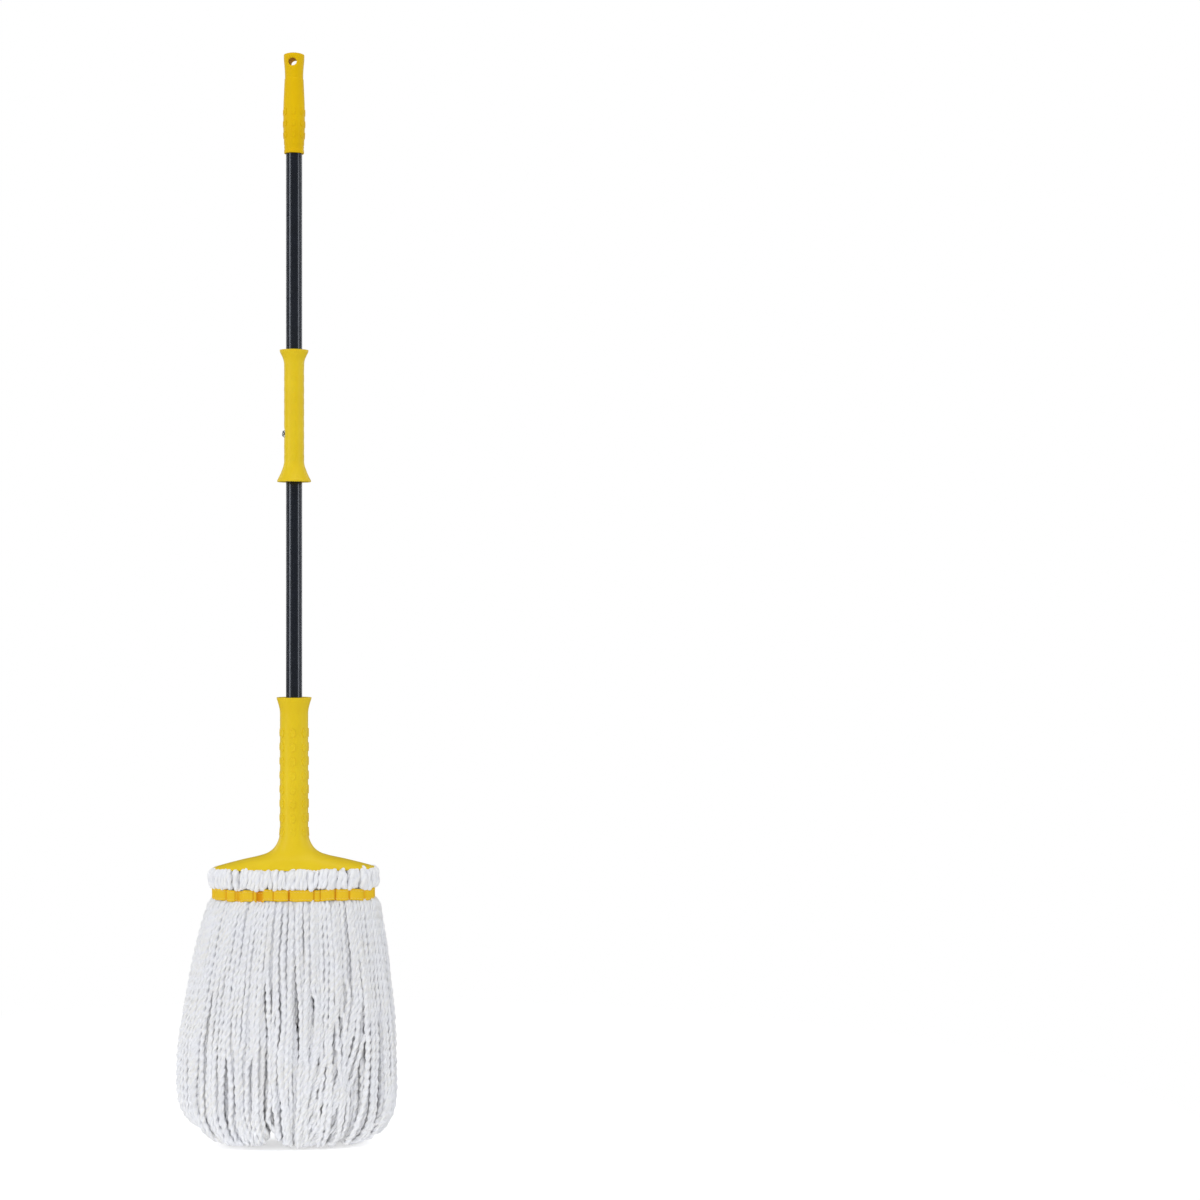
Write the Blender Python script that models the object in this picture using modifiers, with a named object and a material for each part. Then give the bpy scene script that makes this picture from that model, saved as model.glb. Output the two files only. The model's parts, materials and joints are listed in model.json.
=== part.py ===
"""Self-wringing string mop: a two-piece tube with a hanging grip, a wringer sleeve that slides
along the lower tube and turns on it, and a head of looped yarn.

Metres, +Z up, at real size. The origin lies on the tube's axis, level with the lowest yarn, and
the broad side of the head faces -Y. Run with: blender --background --python part.py
"""
import math

import bmesh
import bpy
from mathutils import Matrix, Vector

GAP = 0.0003                    # clearance between pieces that touch
SIDES = 28                      # facets round a turned piece

# Tubes
TUBE_R = 0.011
TUBE_WALL = 0.0005
BORE_R = TUBE_R + GAP           # of every plain bore round a tube
LOWER_TUBE_Z = (0.128, 0.998)
UPPER_TUBE_Z = (1.0006, 1.4535)

# Top grip and its hanging hole
GRIP_Z = (1.356, 1.494)
HANG_HOLE_Z = 1.4805
HANG_HOLE_HALF = (0.0058, 0.0054)   # half width, half height
HANG_HOLE_TURN = math.radians(-8)   # the grip sits a little turned on its tube

# Joint sleeve and snap button
JOINT_Z = (0.906, 1.087)
JOINT_R = 0.0135
JOINT_WALL = JOINT_R - BORE_R
BUTTON_Z = 0.972
BUTTON_R = 0.0048
BUTTON_PROUD = 0.003

# Wringer sleeve: half widths seen from the front, at heights above the head plate's edge
SLEEVE_Z = (0.378, 0.611)
PLATE_Z = 0.381                 # top of the head plate's vertical edge
SLEEVE_R = 0.0192
SLEEVE_WALL = 0.0022
SLEEVE_RIM_R = 0.024
SLEEVE_FLARE_Z = 0.591
PLATE_HALF = (0.1095, 0.0350)   # half width, half depth
SHOULDER = ((0.0000, 0.1095), (0.0059, 0.0920), (0.0117, 0.0700), (0.0158, 0.0500),
            (0.0190, 0.0370), (0.0234, 0.0290), (0.0290, 0.0243), (0.0370, 0.0204),
            (0.0460, SLEEVE_R))
SLEEVE_SIDES = 36

# Raised ovals on the wringer sleeve
OVAL_ROWS = 8
OVAL_COLUMNS = 7
OVAL_TOP_Z = 0.5625
OVAL_PITCH = 0.0194
OVAL_HALF = (0.0016, 0.0042, 0.0063)    # outward, round the sleeve, along it
OVAL_SUNK = 0.0004              # how far their centres lie under the sleeve's skin

# Clamp plate and its screws
CLAMP_Z = (0.3545, 0.3605)
CLAMP_HALF = (0.097, 0.0265)
CLAMP_HOLE_R = 0.0178
SCREW_X = (-0.080, -0.045, 0.045, 0.080)
SCREW_SHANK_R = 0.0016
SCREW_HEAD_R = 0.0036
PILOT_R = 0.0020
BOSS_R = 0.0032

# Bushes and stop collar
BUSH_R = 0.0167
COLLAR_Z = (0.392, 0.4085)
COLLAR_R = 0.0150
PIN_R = 0.0015

# Yarn
HEADER_Z = (0.3513, 0.3777)
HEADER_OUTER = (0.1165, 0.0420)
HEADER_INNER = (0.0985, 0.0280)
TAPE_Z = (0.3353, 0.3509)
TAPE_OUTER = (0.1095, 0.0368)
TAPE_THICKNESS = 0.0035
SKIRT_INNER = (0.0360, 0.0275)
SKIRT = ((0.3349, 0.1125, 0.0390), (0.3240, 0.1210, 0.0450), (0.2810, 0.1277, 0.0520),
         (0.2270, 0.1380, 0.0580), (0.1720, 0.1468, 0.0630), (0.1170, 0.1500, 0.0650),
         (0.0765, 0.1489, 0.0640), (0.0490, 0.1380, 0.0580), (0.0220, 0.1175, 0.0500),
         (0.0080, 0.0980, 0.0420), (0.0000, 0.0745, 0.0330))   # height, half width, half depth
BUNDLE_NAMES = ("yarn_bundle_right", "yarn_bundle_back_right", "yarn_bundle_back_left",
                "yarn_bundle_left", "yarn_bundle_front_left", "yarn_bundle_front_right")
BUNDLE_GAP = 0.022              # radians between two bundles
OVAL_POWER = 2.6                # of the head's oblong sections; 2 is an ellipse

# Yarn anchor at the lower tube's end
ANCHOR_R = 0.020
ANCHOR_HUB_Z = (0.112, 0.150)
ANCHOR_CAP_Z = (0.1000, 0.1085)
ANCHOR_BORE_R = 0.0024

PALETTE = {                     # colour, roughness, metallic
    "yellow_plastic": ((0.72, 0.53, 0.025), 0.42, 0.0),
    "dark_coat": ((0.012, 0.015, 0.024), 0.30, 0.2),
    "white_yarn": ((0.80, 0.81, 0.85), 0.95, 0.0),
    "yellow_tape": ((0.85, 0.42, 0.01), 0.85, 0.0),
    "bright_steel": ((0.75, 0.75, 0.76), 0.15, 1.0),
    "zinc_steel": ((0.55, 0.56, 0.58), 0.35, 1.0),
    "grey_plastic": ((0.18, 0.18, 0.19), 0.50, 0.0),
}


def clear_scene():
    """Remove every object, so that a rerun starts empty."""
    for obj in list(bpy.data.objects):
        bpy.data.objects.remove(obj, do_unlink=True)


def make_collection(name):
    found = bpy.data.collections.get(name) or bpy.data.collections.new(name)
    if found.name not in bpy.context.scene.collection.children:
        bpy.context.scene.collection.children.link(found)
    return found


def make_material(name):
    colour, roughness, metallic = PALETTE[name]
    material = bpy.data.materials.get(name) or bpy.data.materials.new(name)
    material.use_nodes = True
    shader = material.node_tree.nodes["Principled BSDF"]
    shader.inputs["Base Color"].default_value = (*colour, 1.0)
    shader.inputs["Roughness"].default_value = roughness
    shader.inputs["Metallic"].default_value = metallic
    material.diffuse_color = (*colour, 1.0)
    return material


def object_from(name, bm, material, collection=None):
    """Turn a bmesh into an object with outward faces."""
    bmesh.ops.recalc_face_normals(bm, faces=bm.faces)
    mesh = bpy.data.meshes.new(name)
    bm.to_mesh(mesh)
    bm.free()
    obj = bpy.data.objects.new(name, mesh)
    (collection or make_collection("string_mop")).objects.link(obj)
    if material:
        obj.data.materials.append(make_material(material))
        mesh.shade_smooth()
        mesh.set_sharp_from_angle(angle=math.radians(35))
    return obj


def turned(name, profile, material, closed=True, sides=SIDES):
    """Screw a profile of (radius, height) points round Z. It runs down the outer side first."""
    mesh = bpy.data.meshes.new(name)
    points = [(radius, 0.0, height) for radius, height in profile]
    edges = [(i, i + 1) for i in range(len(points) - 1)]
    if closed:
        edges.append((len(points) - 1, 0))
    mesh.from_pydata(points, edges, [])
    obj = bpy.data.objects.new(name, mesh)
    make_collection("string_mop").objects.link(obj)
    mesh.materials.append(make_material(material))
    screw = obj.modifiers.new("turn", "SCREW")
    screw.axis = "Z"
    screw.angle = math.tau
    screw.steps = screw.render_steps = sides
    screw.use_merge_vertices = True
    screw.merge_threshold = 0.00001
    screw.use_smooth_shade = False
    return obj


def ring(name, inner, outer, heights, material):
    """A plain ring of square section."""
    low, high = heights
    return turned(name, [(outer, high), (outer, low), (inner, low), (inner, high)], material)


def loft(bm, sections):
    """Join closed rings of points, each as long as the next, with faces, and return the rings."""
    rings = [[bm.verts.new(point) for point in section] for section in sections]
    for first, second in zip(rings, rings[1:]):
        for i in range(len(first)):
            j = (i + 1) % len(first)
            bm.faces.new((first[i], first[j], second[j], second[i]))
    return rings


def oblong_point(angle, half_width, half_depth, power):
    """A point of a superellipse, round from +X."""
    cosine, sine = math.cos(angle), math.sin(angle)
    return (half_width * math.copysign(abs(cosine) ** (2 / power), cosine),
            half_depth * math.copysign(abs(sine) ** (2 / power), sine))


def oblong(height, half_width, half_depth, power=OVAL_POWER, sides=SLEEVE_SIDES):
    """A level superellipse section."""
    return [Vector((*oblong_point(math.tau * i / sides, half_width, half_depth, power), height))
            for i in range(sides)]


def oblong_reach(angle, half_width, half_depth, power):
    """The point of a superellipse that lies in a given direction from its middle."""
    cosine, sine = math.cos(angle), math.sin(angle)
    reach = (abs(cosine / half_width) ** power + abs(sine / half_depth) ** power) ** (-1 / power)
    return reach * cosine, reach * sine


def cylinder_cutter(name, radius, length, matrix):
    """A cylinder along its own Z, placed by a matrix, for a Boolean."""
    bm = bmesh.new()
    bmesh.ops.create_cone(bm, cap_ends=True, segments=24, radius1=radius, radius2=radius,
                          depth=length, matrix=matrix)
    return cutter_from(name, bm)


def cutter_from(name, bm):
    obj = object_from(name, bm, None, make_collection("cutters"))
    obj.hide_render = True
    obj.display_type = "WIRE"
    return obj


def boolean(obj, other, operation):
    modifier = obj.modifiers.new(other.name, "BOOLEAN")
    modifier.operation = operation
    modifier.object = other
    modifier.solver = "EXACT"


def along(axis):
    """A rotation that takes +Z to the given axis."""
    return Vector((0, 0, 1)).rotation_difference(Vector(axis)).to_matrix().to_4x4()


def make_tubes():
    inner = TUBE_R - TUBE_WALL
    ring("upper_tube", inner, TUBE_R, UPPER_TUBE_Z, "dark_coat")
    lower = ring("lower_tube", inner, TUBE_R, LOWER_TUBE_Z, "dark_coat")
    boolean(lower, button_hole("button_hole_in_tube"), "DIFFERENCE")
    boolean(lower, pin_hole("pin_hole_in_tube"), "DIFFERENCE")


def make_top_grip():
    low, high = GRIP_Z
    outer = [(0.0, high), (0.0100, high - 0.0006), (0.0128, high - 0.0024),
             (0.0139, high - 0.0060), (0.0135, high - 0.0130), (0.0124, high - 0.0240),
             (0.0130, high - 0.0370), (0.0144, high - 0.0620), (0.0150, high - 0.0800),
             (0.0147, high - 0.1130), (0.0136, high - 0.1240), (0.0136, low)]
    seat = UPPER_TUBE_Z[1] + GAP
    bore = [(BORE_R, low), (BORE_R, seat), (0.0, seat)]
    grip = turned("top_grip", outer + bore, "yellow_plastic", closed=False)
    half_width, half_height = HANG_HOLE_HALF
    bm = bmesh.new()
    bmesh.ops.create_cone(
        bm, cap_ends=True, segments=28, radius1=1.0, radius2=1.0, depth=0.05,
        matrix=Matrix.Translation((0, 0, HANG_HOLE_Z))
        @ Matrix.Rotation(HANG_HOLE_TURN, 4, "Z") @ along((0, 1, 0))
        @ Matrix.Diagonal((half_width, half_height, 1.0, 1.0)))
    boolean(grip, cutter_from("hanging_hole", bm), "DIFFERENCE")


def make_joint_sleeve():
    low, high = JOINT_Z
    outer = [(0.0200, high), (0.0188, high - 0.0050), (0.0155, high - 0.0120),
             (JOINT_R, high - 0.0180), (JOINT_R, low + 0.0260), (0.0150, low + 0.0210),
             (0.0185, low + 0.0120), (0.0215, low + 0.0045), (0.0230, low + 0.0025), (0.0230, low)]
    rim = JOINT_WALL
    stop_low, stop_high = LOWER_TUBE_Z[1] + GAP, UPPER_TUBE_Z[0] - GAP
    inner = [(0.0230 - rim, low), (0.0185 - rim, low + 0.0110), (BORE_R, low + 0.0240),
             (BORE_R, stop_low), (0.0095, stop_low), (0.0095, stop_high), (BORE_R, stop_high),
             (BORE_R, high - 0.0170), (0.0155 - rim, high - 0.0112), (0.0200 - rim, high)]
    sleeve = turned("joint_sleeve", outer + inner, "yellow_plastic")
    boolean(sleeve, button_hole("button_hole_in_sleeve"), "DIFFERENCE")


def button_hole(name):
    matrix = Matrix.Translation((-0.0125, 0, BUTTON_Z)) @ along((1, 0, 0))
    return cylinder_cutter(name, BUTTON_R + GAP, 0.012, matrix)


def pin_hole(name):
    matrix = Matrix.Translation((0, 0, sum(COLLAR_Z) / 2)) @ along((0, 1, 0))
    return cylinder_cutter(name, PIN_R + GAP, 0.04, matrix)


def make_snap_button():
    """A domed pin along -X with a flange inside the tube, turned about Z and then laid over."""
    tip = JOINT_R + BUTTON_PROUD
    flange = (0.0065, 0.0078)
    profile = [(0.0, tip), (0.0022, tip - 0.0003), (0.0039, tip - 0.0013),
               (BUTTON_R, tip - 0.0030), (BUTTON_R, flange[1]), (0.0057, flange[1]),
               (0.0057, flange[0]), (0.0, flange[0])]
    button = turned("snap_button", profile, "bright_steel", closed=False, sides=24)
    button.matrix_world = Matrix.Translation((0, 0, BUTTON_Z)) @ along((-1, 0, 0))


def make_button_spring():
    """A bent leaf inside the tube: one leg behind the button, the other on the far wall."""
    line = [(-0.0058, 0.976), (-0.0058, 0.966), (-0.0040, 0.950), (-0.0012, 0.939),
            (0.0020, 0.935), (0.0052, 0.939), (0.0078, 0.950), (0.0088, 0.976)]
    half_width = 0.003
    bm = bmesh.new()
    rows = [[bm.verts.new((x, y, z)) for y in (-half_width, half_width)] for x, z in line]
    for first, second in zip(rows, rows[1:]):
        bm.faces.new((first[0], first[1], second[1], second[0]))
    leaf = object_from("button_spring", bm, "zinc_steel")
    wall = leaf.modifiers.new("thickness", "SOLIDIFY")
    wall.thickness = 0.0006
    wall.offset = 0.0


def shoulder_height(half_width):
    """Height of the head plate's outer skin where the sleeve is this wide, from the front."""
    for (low, wide), (high, narrow) in zip(SHOULDER, SHOULDER[1:]):
        if narrow <= half_width <= wide:
            return PLATE_Z + low + (high - low) * (wide - half_width) / (wide - narrow)
    raise ValueError(half_width)


def sleeve_sections():
    """Level sections of the outer skin, top to bottom: round tube, flared top, oblong plate."""
    top = SLEEVE_Z[1]
    yield oblong(top, SLEEVE_RIM_R, SLEEVE_RIM_R, 2.0)
    yield oblong(top - 0.0030, SLEEVE_RIM_R, SLEEVE_RIM_R, 2.0)
    yield oblong(top - 0.0100, 0.0212, 0.0212, 2.0)
    yield oblong(SLEEVE_FLARE_Z, SLEEVE_R, SLEEVE_R, 2.0)
    for height, half_width in reversed(SHOULDER):
        share = (half_width - SLEEVE_R) / (PLATE_HALF[0] - SLEEVE_R)
        half_depth = SLEEVE_R + math.sqrt(share) * (PLATE_HALF[1] - SLEEVE_R)
        yield oblong(PLATE_Z + height, half_width, half_depth, 2.0 + share * (OVAL_POWER - 2.0))
    yield oblong(SLEEVE_Z[0], *PLATE_HALF)


def raised_ovals():
    """The grip's ovals as one set of flattened spheres, each half sunk in the sleeve."""
    bm = bmesh.new()
    for row in range(OVAL_ROWS):
        for column in range(OVAL_COLUMNS):
            angle = math.tau * column / OVAL_COLUMNS - math.pi / 2
            matrix = (Matrix.Rotation(angle, 4, "Z")
                      @ Matrix.Translation((SLEEVE_R - OVAL_SUNK, 0, OVAL_TOP_Z - row * OVAL_PITCH))
                      @ Matrix.Diagonal((*OVAL_HALF, 1.0)))
            bmesh.ops.create_uvsphere(bm, u_segments=8, v_segments=5, radius=1.0, matrix=matrix)
    return cutter_from("raised_ovals", bm)


def make_wringer_sleeve():
    bm = bmesh.new()
    loft(bm, sleeve_sections())
    sleeve = object_from("wringer_sleeve", bm, "yellow_plastic")
    wall = sleeve.modifiers.new("wall", "SOLIDIFY")
    wall.thickness = SLEEVE_WALL
    wall.offset = -1.0
    wall.use_even_offset = True
    boolean(sleeve, raised_ovals(), "UNION")
    for number, x in enumerate(SCREW_X, 1):
        foot = CLAMP_Z[1] + GAP
        roof = shoulder_height(abs(x)) - SLEEVE_WALL / 2
        boss = cylinder_cutter(f"boss_{number}", BOSS_R, roof - foot,
                               Matrix.Translation((x, 0, (roof + foot) / 2)))
        boolean(sleeve, boss, "UNION")
        pilot = cylinder_cutter(f"pilot_hole_{number}", PILOT_R, 0.024,
                                Matrix.Translation((x, 0, foot)))
        boolean(sleeve, pilot, "DIFFERENCE")


def make_bushes():
    """Two flanged bushes that slide on the tube; the sleeve turns on them, held between flanges."""
    low = COLLAR_Z[1] + GAP
    turned("lower_bush", [(BUSH_R, 0.4400), (BUSH_R, 0.4195), (0.0183, 0.4140), (0.0183, low),
                          (BORE_R, low), (BORE_R, 0.4400)], "grey_plastic")
    turned("upper_bush", [(0.0186, 0.6005), (BUSH_R, 0.5900), (BUSH_R, 0.5700),
                          (BORE_R, 0.5700), (BORE_R, 0.6005)], "grey_plastic")


def make_stop_collar():
    collar = ring("stop_collar", BORE_R, COLLAR_R, COLLAR_Z, "grey_plastic")
    boolean(collar, pin_hole("pin_hole_in_collar"), "DIFFERENCE")
    pin = turned("stop_pin", [(0.0, 0.0142), (PIN_R, 0.0142), (PIN_R, -0.0142), (0.0, -0.0142)],
                 "zinc_steel", closed=False, sides=16)
    pin.matrix_world = Matrix.Translation((0, 0, sum(COLLAR_Z) / 2)) @ along((0, 1, 0))


def make_clamp_plate():
    low, high = CLAMP_Z
    bm = bmesh.new()
    rings = loft(bm, [oblong(high, *CLAMP_HALF), oblong(low, *CLAMP_HALF)])
    for boundary in rings:
        bm.faces.new(boundary)
    plate = object_from("clamp_plate", bm, "grey_plastic")
    middle = (low + high) / 2
    boolean(plate, cylinder_cutter("tube_hole", CLAMP_HOLE_R, 0.02,
                                   Matrix.Translation((0, 0, middle))), "DIFFERENCE")
    for number, x in enumerate(SCREW_X, 1):
        boolean(plate, cylinder_cutter(f"plate_hole_{number}", PILOT_R, 0.02,
                                       Matrix.Translation((x, 0, middle))), "DIFFERENCE")
        head_top, tip = low - GAP, 0.3705
        screw = turned(f"plate_screw_{number}",
                       [(0.0, tip), (SCREW_SHANK_R, tip - 0.0012), (SCREW_SHANK_R, head_top),
                        (SCREW_HEAD_R, head_top), (SCREW_HEAD_R, head_top - 0.0014),
                        (0.0, head_top - 0.0024)], "zinc_steel", closed=False, sides=16)
        screw.location = (x, 0, 0)


def oblong_band(name, levels, material):
    """A closed band round the head. Each level is height, outer halves, inner halves."""
    bm = bmesh.new()
    outer = loft(bm, [oblong(height, *outside) for height, outside, _ in levels])
    inner = loft(bm, [oblong(height, *inside) for height, _, inside in levels])
    for end in (0, -1):
        for i in range(SLEEVE_SIDES):
            j = (i + 1) % SLEEVE_SIDES
            bm.faces.new((outer[end][i], outer[end][j], inner[end][j], inner[end][i]))
    return object_from(name, bm, material)


def inset(halves, amount):
    return halves[0] - amount, halves[1] - amount


def make_yarn_header():
    low, high = HEADER_Z
    edge = inset(HEADER_OUTER, 0.0035)
    oblong_band("yarn_header", [(high, edge, HEADER_INNER), (high - 0.006, HEADER_OUTER, HEADER_INNER),
                                (low + 0.007, HEADER_OUTER, HEADER_INNER),
                                (low, edge, HEADER_INNER)], "white_yarn")


def make_header_tape():
    low, high = TAPE_Z
    inner = inset(TAPE_OUTER, TAPE_THICKNESS)
    waist = inset(TAPE_OUTER, 0.0010)
    oblong_band("header_tape", [(high, TAPE_OUTER, inner), ((low + high) / 2, waist, inner),
                                (low, TAPE_OUTER, inner)], "yellow_tape")


def make_yarn_bundles():
    """Six bundles, each a sector of the skirt round an open middle, with flat upright sides."""
    step = math.tau / len(BUNDLE_NAMES)
    outer_steps, inner_steps = 8, 4
    for number, name in enumerate(BUNDLE_NAMES):
        start = (number - 0.5) * step + BUNDLE_GAP / 2
        span = step - BUNDLE_GAP
        sections = []
        for height, half_width, half_depth in SKIRT:
            outside = [oblong_reach(start + span * i / outer_steps, half_width, half_depth,
                                    OVAL_POWER) for i in range(outer_steps + 1)]
            inside = [oblong_reach(start + span * i / inner_steps, *SKIRT_INNER, 2.0)
                      for i in range(inner_steps, -1, -1)]
            sections.append([Vector((x, y, height)) for x, y in outside + inside])
        bm = bmesh.new()
        rings = loft(bm, sections)
        bm.faces.new(rings[0])
        bm.faces.new(rings[-1])
        object_from(name, bm, "white_yarn")


def make_return_yarn():
    """Strands clamped under the anchor's flange that hang down to meet the loops."""
    top = ANCHOR_HUB_Z[0] - GAP
    nip = ANCHOR_CAP_Z[1] + GAP
    turned("return_yarn", [(0.0225, top), (0.0262, top - 0.0050), (0.0262, 0.0300), (0.0240, 0.0100),
                           (0.0215, 0.0100), (0.0208, 0.0300), (0.0208, nip), (0.0140, nip),
                           (0.0140, top)], "white_yarn")


def make_anchor():
    low, high = ANCHOR_HUB_Z
    plug_r = TUBE_R - TUBE_WALL - GAP
    shoulder = LOWER_TUBE_Z[0] - GAP
    turned("anchor_hub", [(0.0, high), (plug_r, high), (plug_r, shoulder), (ANCHOR_R, shoulder),
                          (ANCHOR_R, low), (PILOT_R, low), (PILOT_R, high - 0.008),
                          (0.0, high - 0.008)], "grey_plastic", closed=False)
    cap_low, cap_high = ANCHOR_CAP_Z
    turned("anchor_cap", [(ANCHOR_R, cap_high), (ANCHOR_R, cap_low + 0.003), (0.017, cap_low),
                          (ANCHOR_BORE_R, cap_low), (ANCHOR_BORE_R, cap_high)], "grey_plastic")
    washer_high = cap_low - GAP
    washer_low = washer_high - 0.0012
    turned("anchor_washer", [(0.0060, washer_high), (0.0060, washer_low),
                             (ANCHOR_BORE_R, washer_low), (ANCHOR_BORE_R, washer_high)],
           "zinc_steel", sides=20)
    head_top = washer_low - GAP
    turned("anchor_screw", [(0.0, high - 0.012), (SCREW_SHANK_R, high - 0.0135),
                            (SCREW_SHANK_R, head_top), (0.0045, head_top),
                            (0.0045, head_top - 0.0018), (0.0, head_top - 0.0030)],
           "zinc_steel", closed=False, sides=20)


def main():
    clear_scene()
    make_tubes()
    make_top_grip()
    make_joint_sleeve()
    make_snap_button()
    make_button_spring()
    make_wringer_sleeve()
    make_bushes()
    make_stop_collar()
    make_clamp_plate()
    make_yarn_header()
    make_header_tape()
    make_yarn_bundles()
    make_return_yarn()
    make_anchor()


main()
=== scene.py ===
"""Looks of a self-wringing string mop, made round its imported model.

Metres throughout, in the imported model's frame: the tube stands on Z through the origin, the head's
broad side faces -Y and its long side runs along X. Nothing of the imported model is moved.
"""
import json
import logging
import math
from dataclasses import dataclass
from enum import Enum
from typing import Any, Callable, Iterable, Sequence

import bmesh
import bpy
import numpy as np
from mathutils import Matrix, Vector

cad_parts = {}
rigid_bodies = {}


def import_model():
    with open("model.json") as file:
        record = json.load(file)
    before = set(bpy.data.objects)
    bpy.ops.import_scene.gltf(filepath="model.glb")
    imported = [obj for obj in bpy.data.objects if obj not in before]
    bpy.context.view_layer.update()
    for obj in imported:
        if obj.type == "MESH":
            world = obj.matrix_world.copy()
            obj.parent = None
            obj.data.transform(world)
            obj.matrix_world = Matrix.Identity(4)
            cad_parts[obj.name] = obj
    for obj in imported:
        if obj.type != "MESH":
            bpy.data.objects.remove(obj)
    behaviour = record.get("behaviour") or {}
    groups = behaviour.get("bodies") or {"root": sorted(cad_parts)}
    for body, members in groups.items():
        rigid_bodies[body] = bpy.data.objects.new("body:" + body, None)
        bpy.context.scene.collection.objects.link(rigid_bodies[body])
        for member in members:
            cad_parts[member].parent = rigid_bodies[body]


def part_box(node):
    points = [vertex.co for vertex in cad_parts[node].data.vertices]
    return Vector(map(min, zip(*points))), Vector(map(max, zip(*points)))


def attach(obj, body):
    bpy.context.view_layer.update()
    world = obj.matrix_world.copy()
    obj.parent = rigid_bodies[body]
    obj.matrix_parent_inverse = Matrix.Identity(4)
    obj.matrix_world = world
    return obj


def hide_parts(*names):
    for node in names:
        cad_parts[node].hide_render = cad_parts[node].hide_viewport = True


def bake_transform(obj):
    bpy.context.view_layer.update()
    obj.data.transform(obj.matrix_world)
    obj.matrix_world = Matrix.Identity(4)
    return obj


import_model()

MM = 0.001
LOG = logging.getLogger("string_mop")
Array = np.ndarray


class Body(str, Enum):
    """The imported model's bodies."""

    POLE = "pole"
    SLIDER = "slider"
    HEAD = "head"
    BUTTON = "button"


class Slot(str, Enum):
    """The record's material slots."""

    PLASTIC = "yellow_plastic"
    COAT = "dark_coat"
    YARN = "white_yarn"
    TAPE = "yellow_tape"
    CHROME = "bright_steel"
    ZINC = "zinc_steel"
    GREY = "grey_plastic"


# --------------------------------------------------------------------------- finishes


def linear(hex_colour: str) -> tuple[float, float, float, float]:
    """Turn an sRGB hex colour into linear light.

    Args:
        hex_colour: Six hex digits after a hash sign.

    Returns:
        Red, green, blue and an alpha of 1.
    """
    parts = [int(hex_colour[i:i + 2], 16) / 255 for i in (1, 3, 5)]
    red, green, blue = (c / 12.92 if c <= 0.04045 else ((c + 0.055) / 1.055) ** 2.4 for c in parts)
    return red, green, blue, 1.0


def add_node(tree: bpy.types.NodeTree, kind: str, settings: dict[str, Any] | None = None,
             values: dict[Any, Any] | None = None, links: dict[Any, Any] | None = None
             ) -> bpy.types.Node:
    """Add a shader node.

    Args:
        tree: The material's node tree.
        kind: The node's type name.
        settings: Attributes of the node.
        values: Input sockets' own values, by name or index.
        links: Sockets that feed input sockets, by name or index.

    Returns:
        The new node.
    """
    node = tree.nodes.new(kind)
    for name, value in (settings or {}).items():
        setattr(node, name, value)
    for name, value in (values or {}).items():
        node.inputs[name].default_value = value
    for name, socket in (links or {}).items():
        tree.links.new(socket, node.inputs[name])
    return node


def blank_material(name: str) -> tuple[bpy.types.Material, bpy.types.NodeTree, bpy.types.Node]:
    """Make a material that holds only a Principled shader.

    Args:
        name: The material's name.

    Returns:
        The material, its tree and the shader node.
    """
    material = bpy.data.materials.new(name)
    material.use_nodes = True
    tree = material.node_tree
    tree.nodes.clear()
    shader = add_node(tree, "ShaderNodeBsdfPrincipled")
    add_node(tree, "ShaderNodeOutputMaterial", links={"Surface": shader.outputs["BSDF"]})
    return material, tree, shader


def noise_on(tree: bpy.types.NodeTree, place: bpy.types.NodeSocket, size_mm: float,
             detail: float = 2.0) -> bpy.types.NodeSocket:
    """Add a noise whose lumps have a real size.

    Args:
        tree: The material's node tree.
        place: Coordinates in metres.
        size_mm: Distance between lumps.
        detail: Octaves of finer noise.

    Returns:
        The noise's value, from 0 to 1.
    """
    node = add_node(tree, "ShaderNodeTexNoise", values={"Scale": 1 / (size_mm * MM), "Detail": detail},
                    links={"Vector": place})
    return node.outputs["Fac"]


def remap(tree: bpy.types.NodeTree, value: bpy.types.NodeSocket, low: float, high: float,
          start: float = 0.3, stop: float = 0.7) -> bpy.types.NodeSocket:
    """Stretch a value to a range.

    Args:
        tree: The material's node tree.
        value: The value to stretch.
        low: Result at start.
        high: Result at stop.
        start: Value that gives low.
        stop: Value that gives high.

    Returns:
        The stretched value.
    """
    node = add_node(tree, "ShaderNodeMapRange", links={"Value": value},
                    values={"From Min": start, "From Max": stop, "To Min": low, "To Max": high})
    return node.outputs["Result"]


def mix_colours(tree: bpy.types.NodeTree, share: bpy.types.NodeSocket, first: Any, second: Any
                ) -> bpy.types.NodeSocket:
    """Mix two colours, each a hex string or a socket.

    Args:
        tree: The material's node tree.
        share: 0 for the first colour, 1 for the second.
        first: The first colour.
        second: The second colour.

    Returns:
        The mixed colour.
    """
    node = add_node(tree, "ShaderNodeMix", {"data_type": "RGBA"}, links={"Factor": share})
    for index, colour in ((6, first), (7, second)):
        if isinstance(colour, str):
            node.inputs[index].default_value = linear(colour)
        else:
            tree.links.new(colour, node.inputs[index])
    return node.outputs[2]


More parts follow.
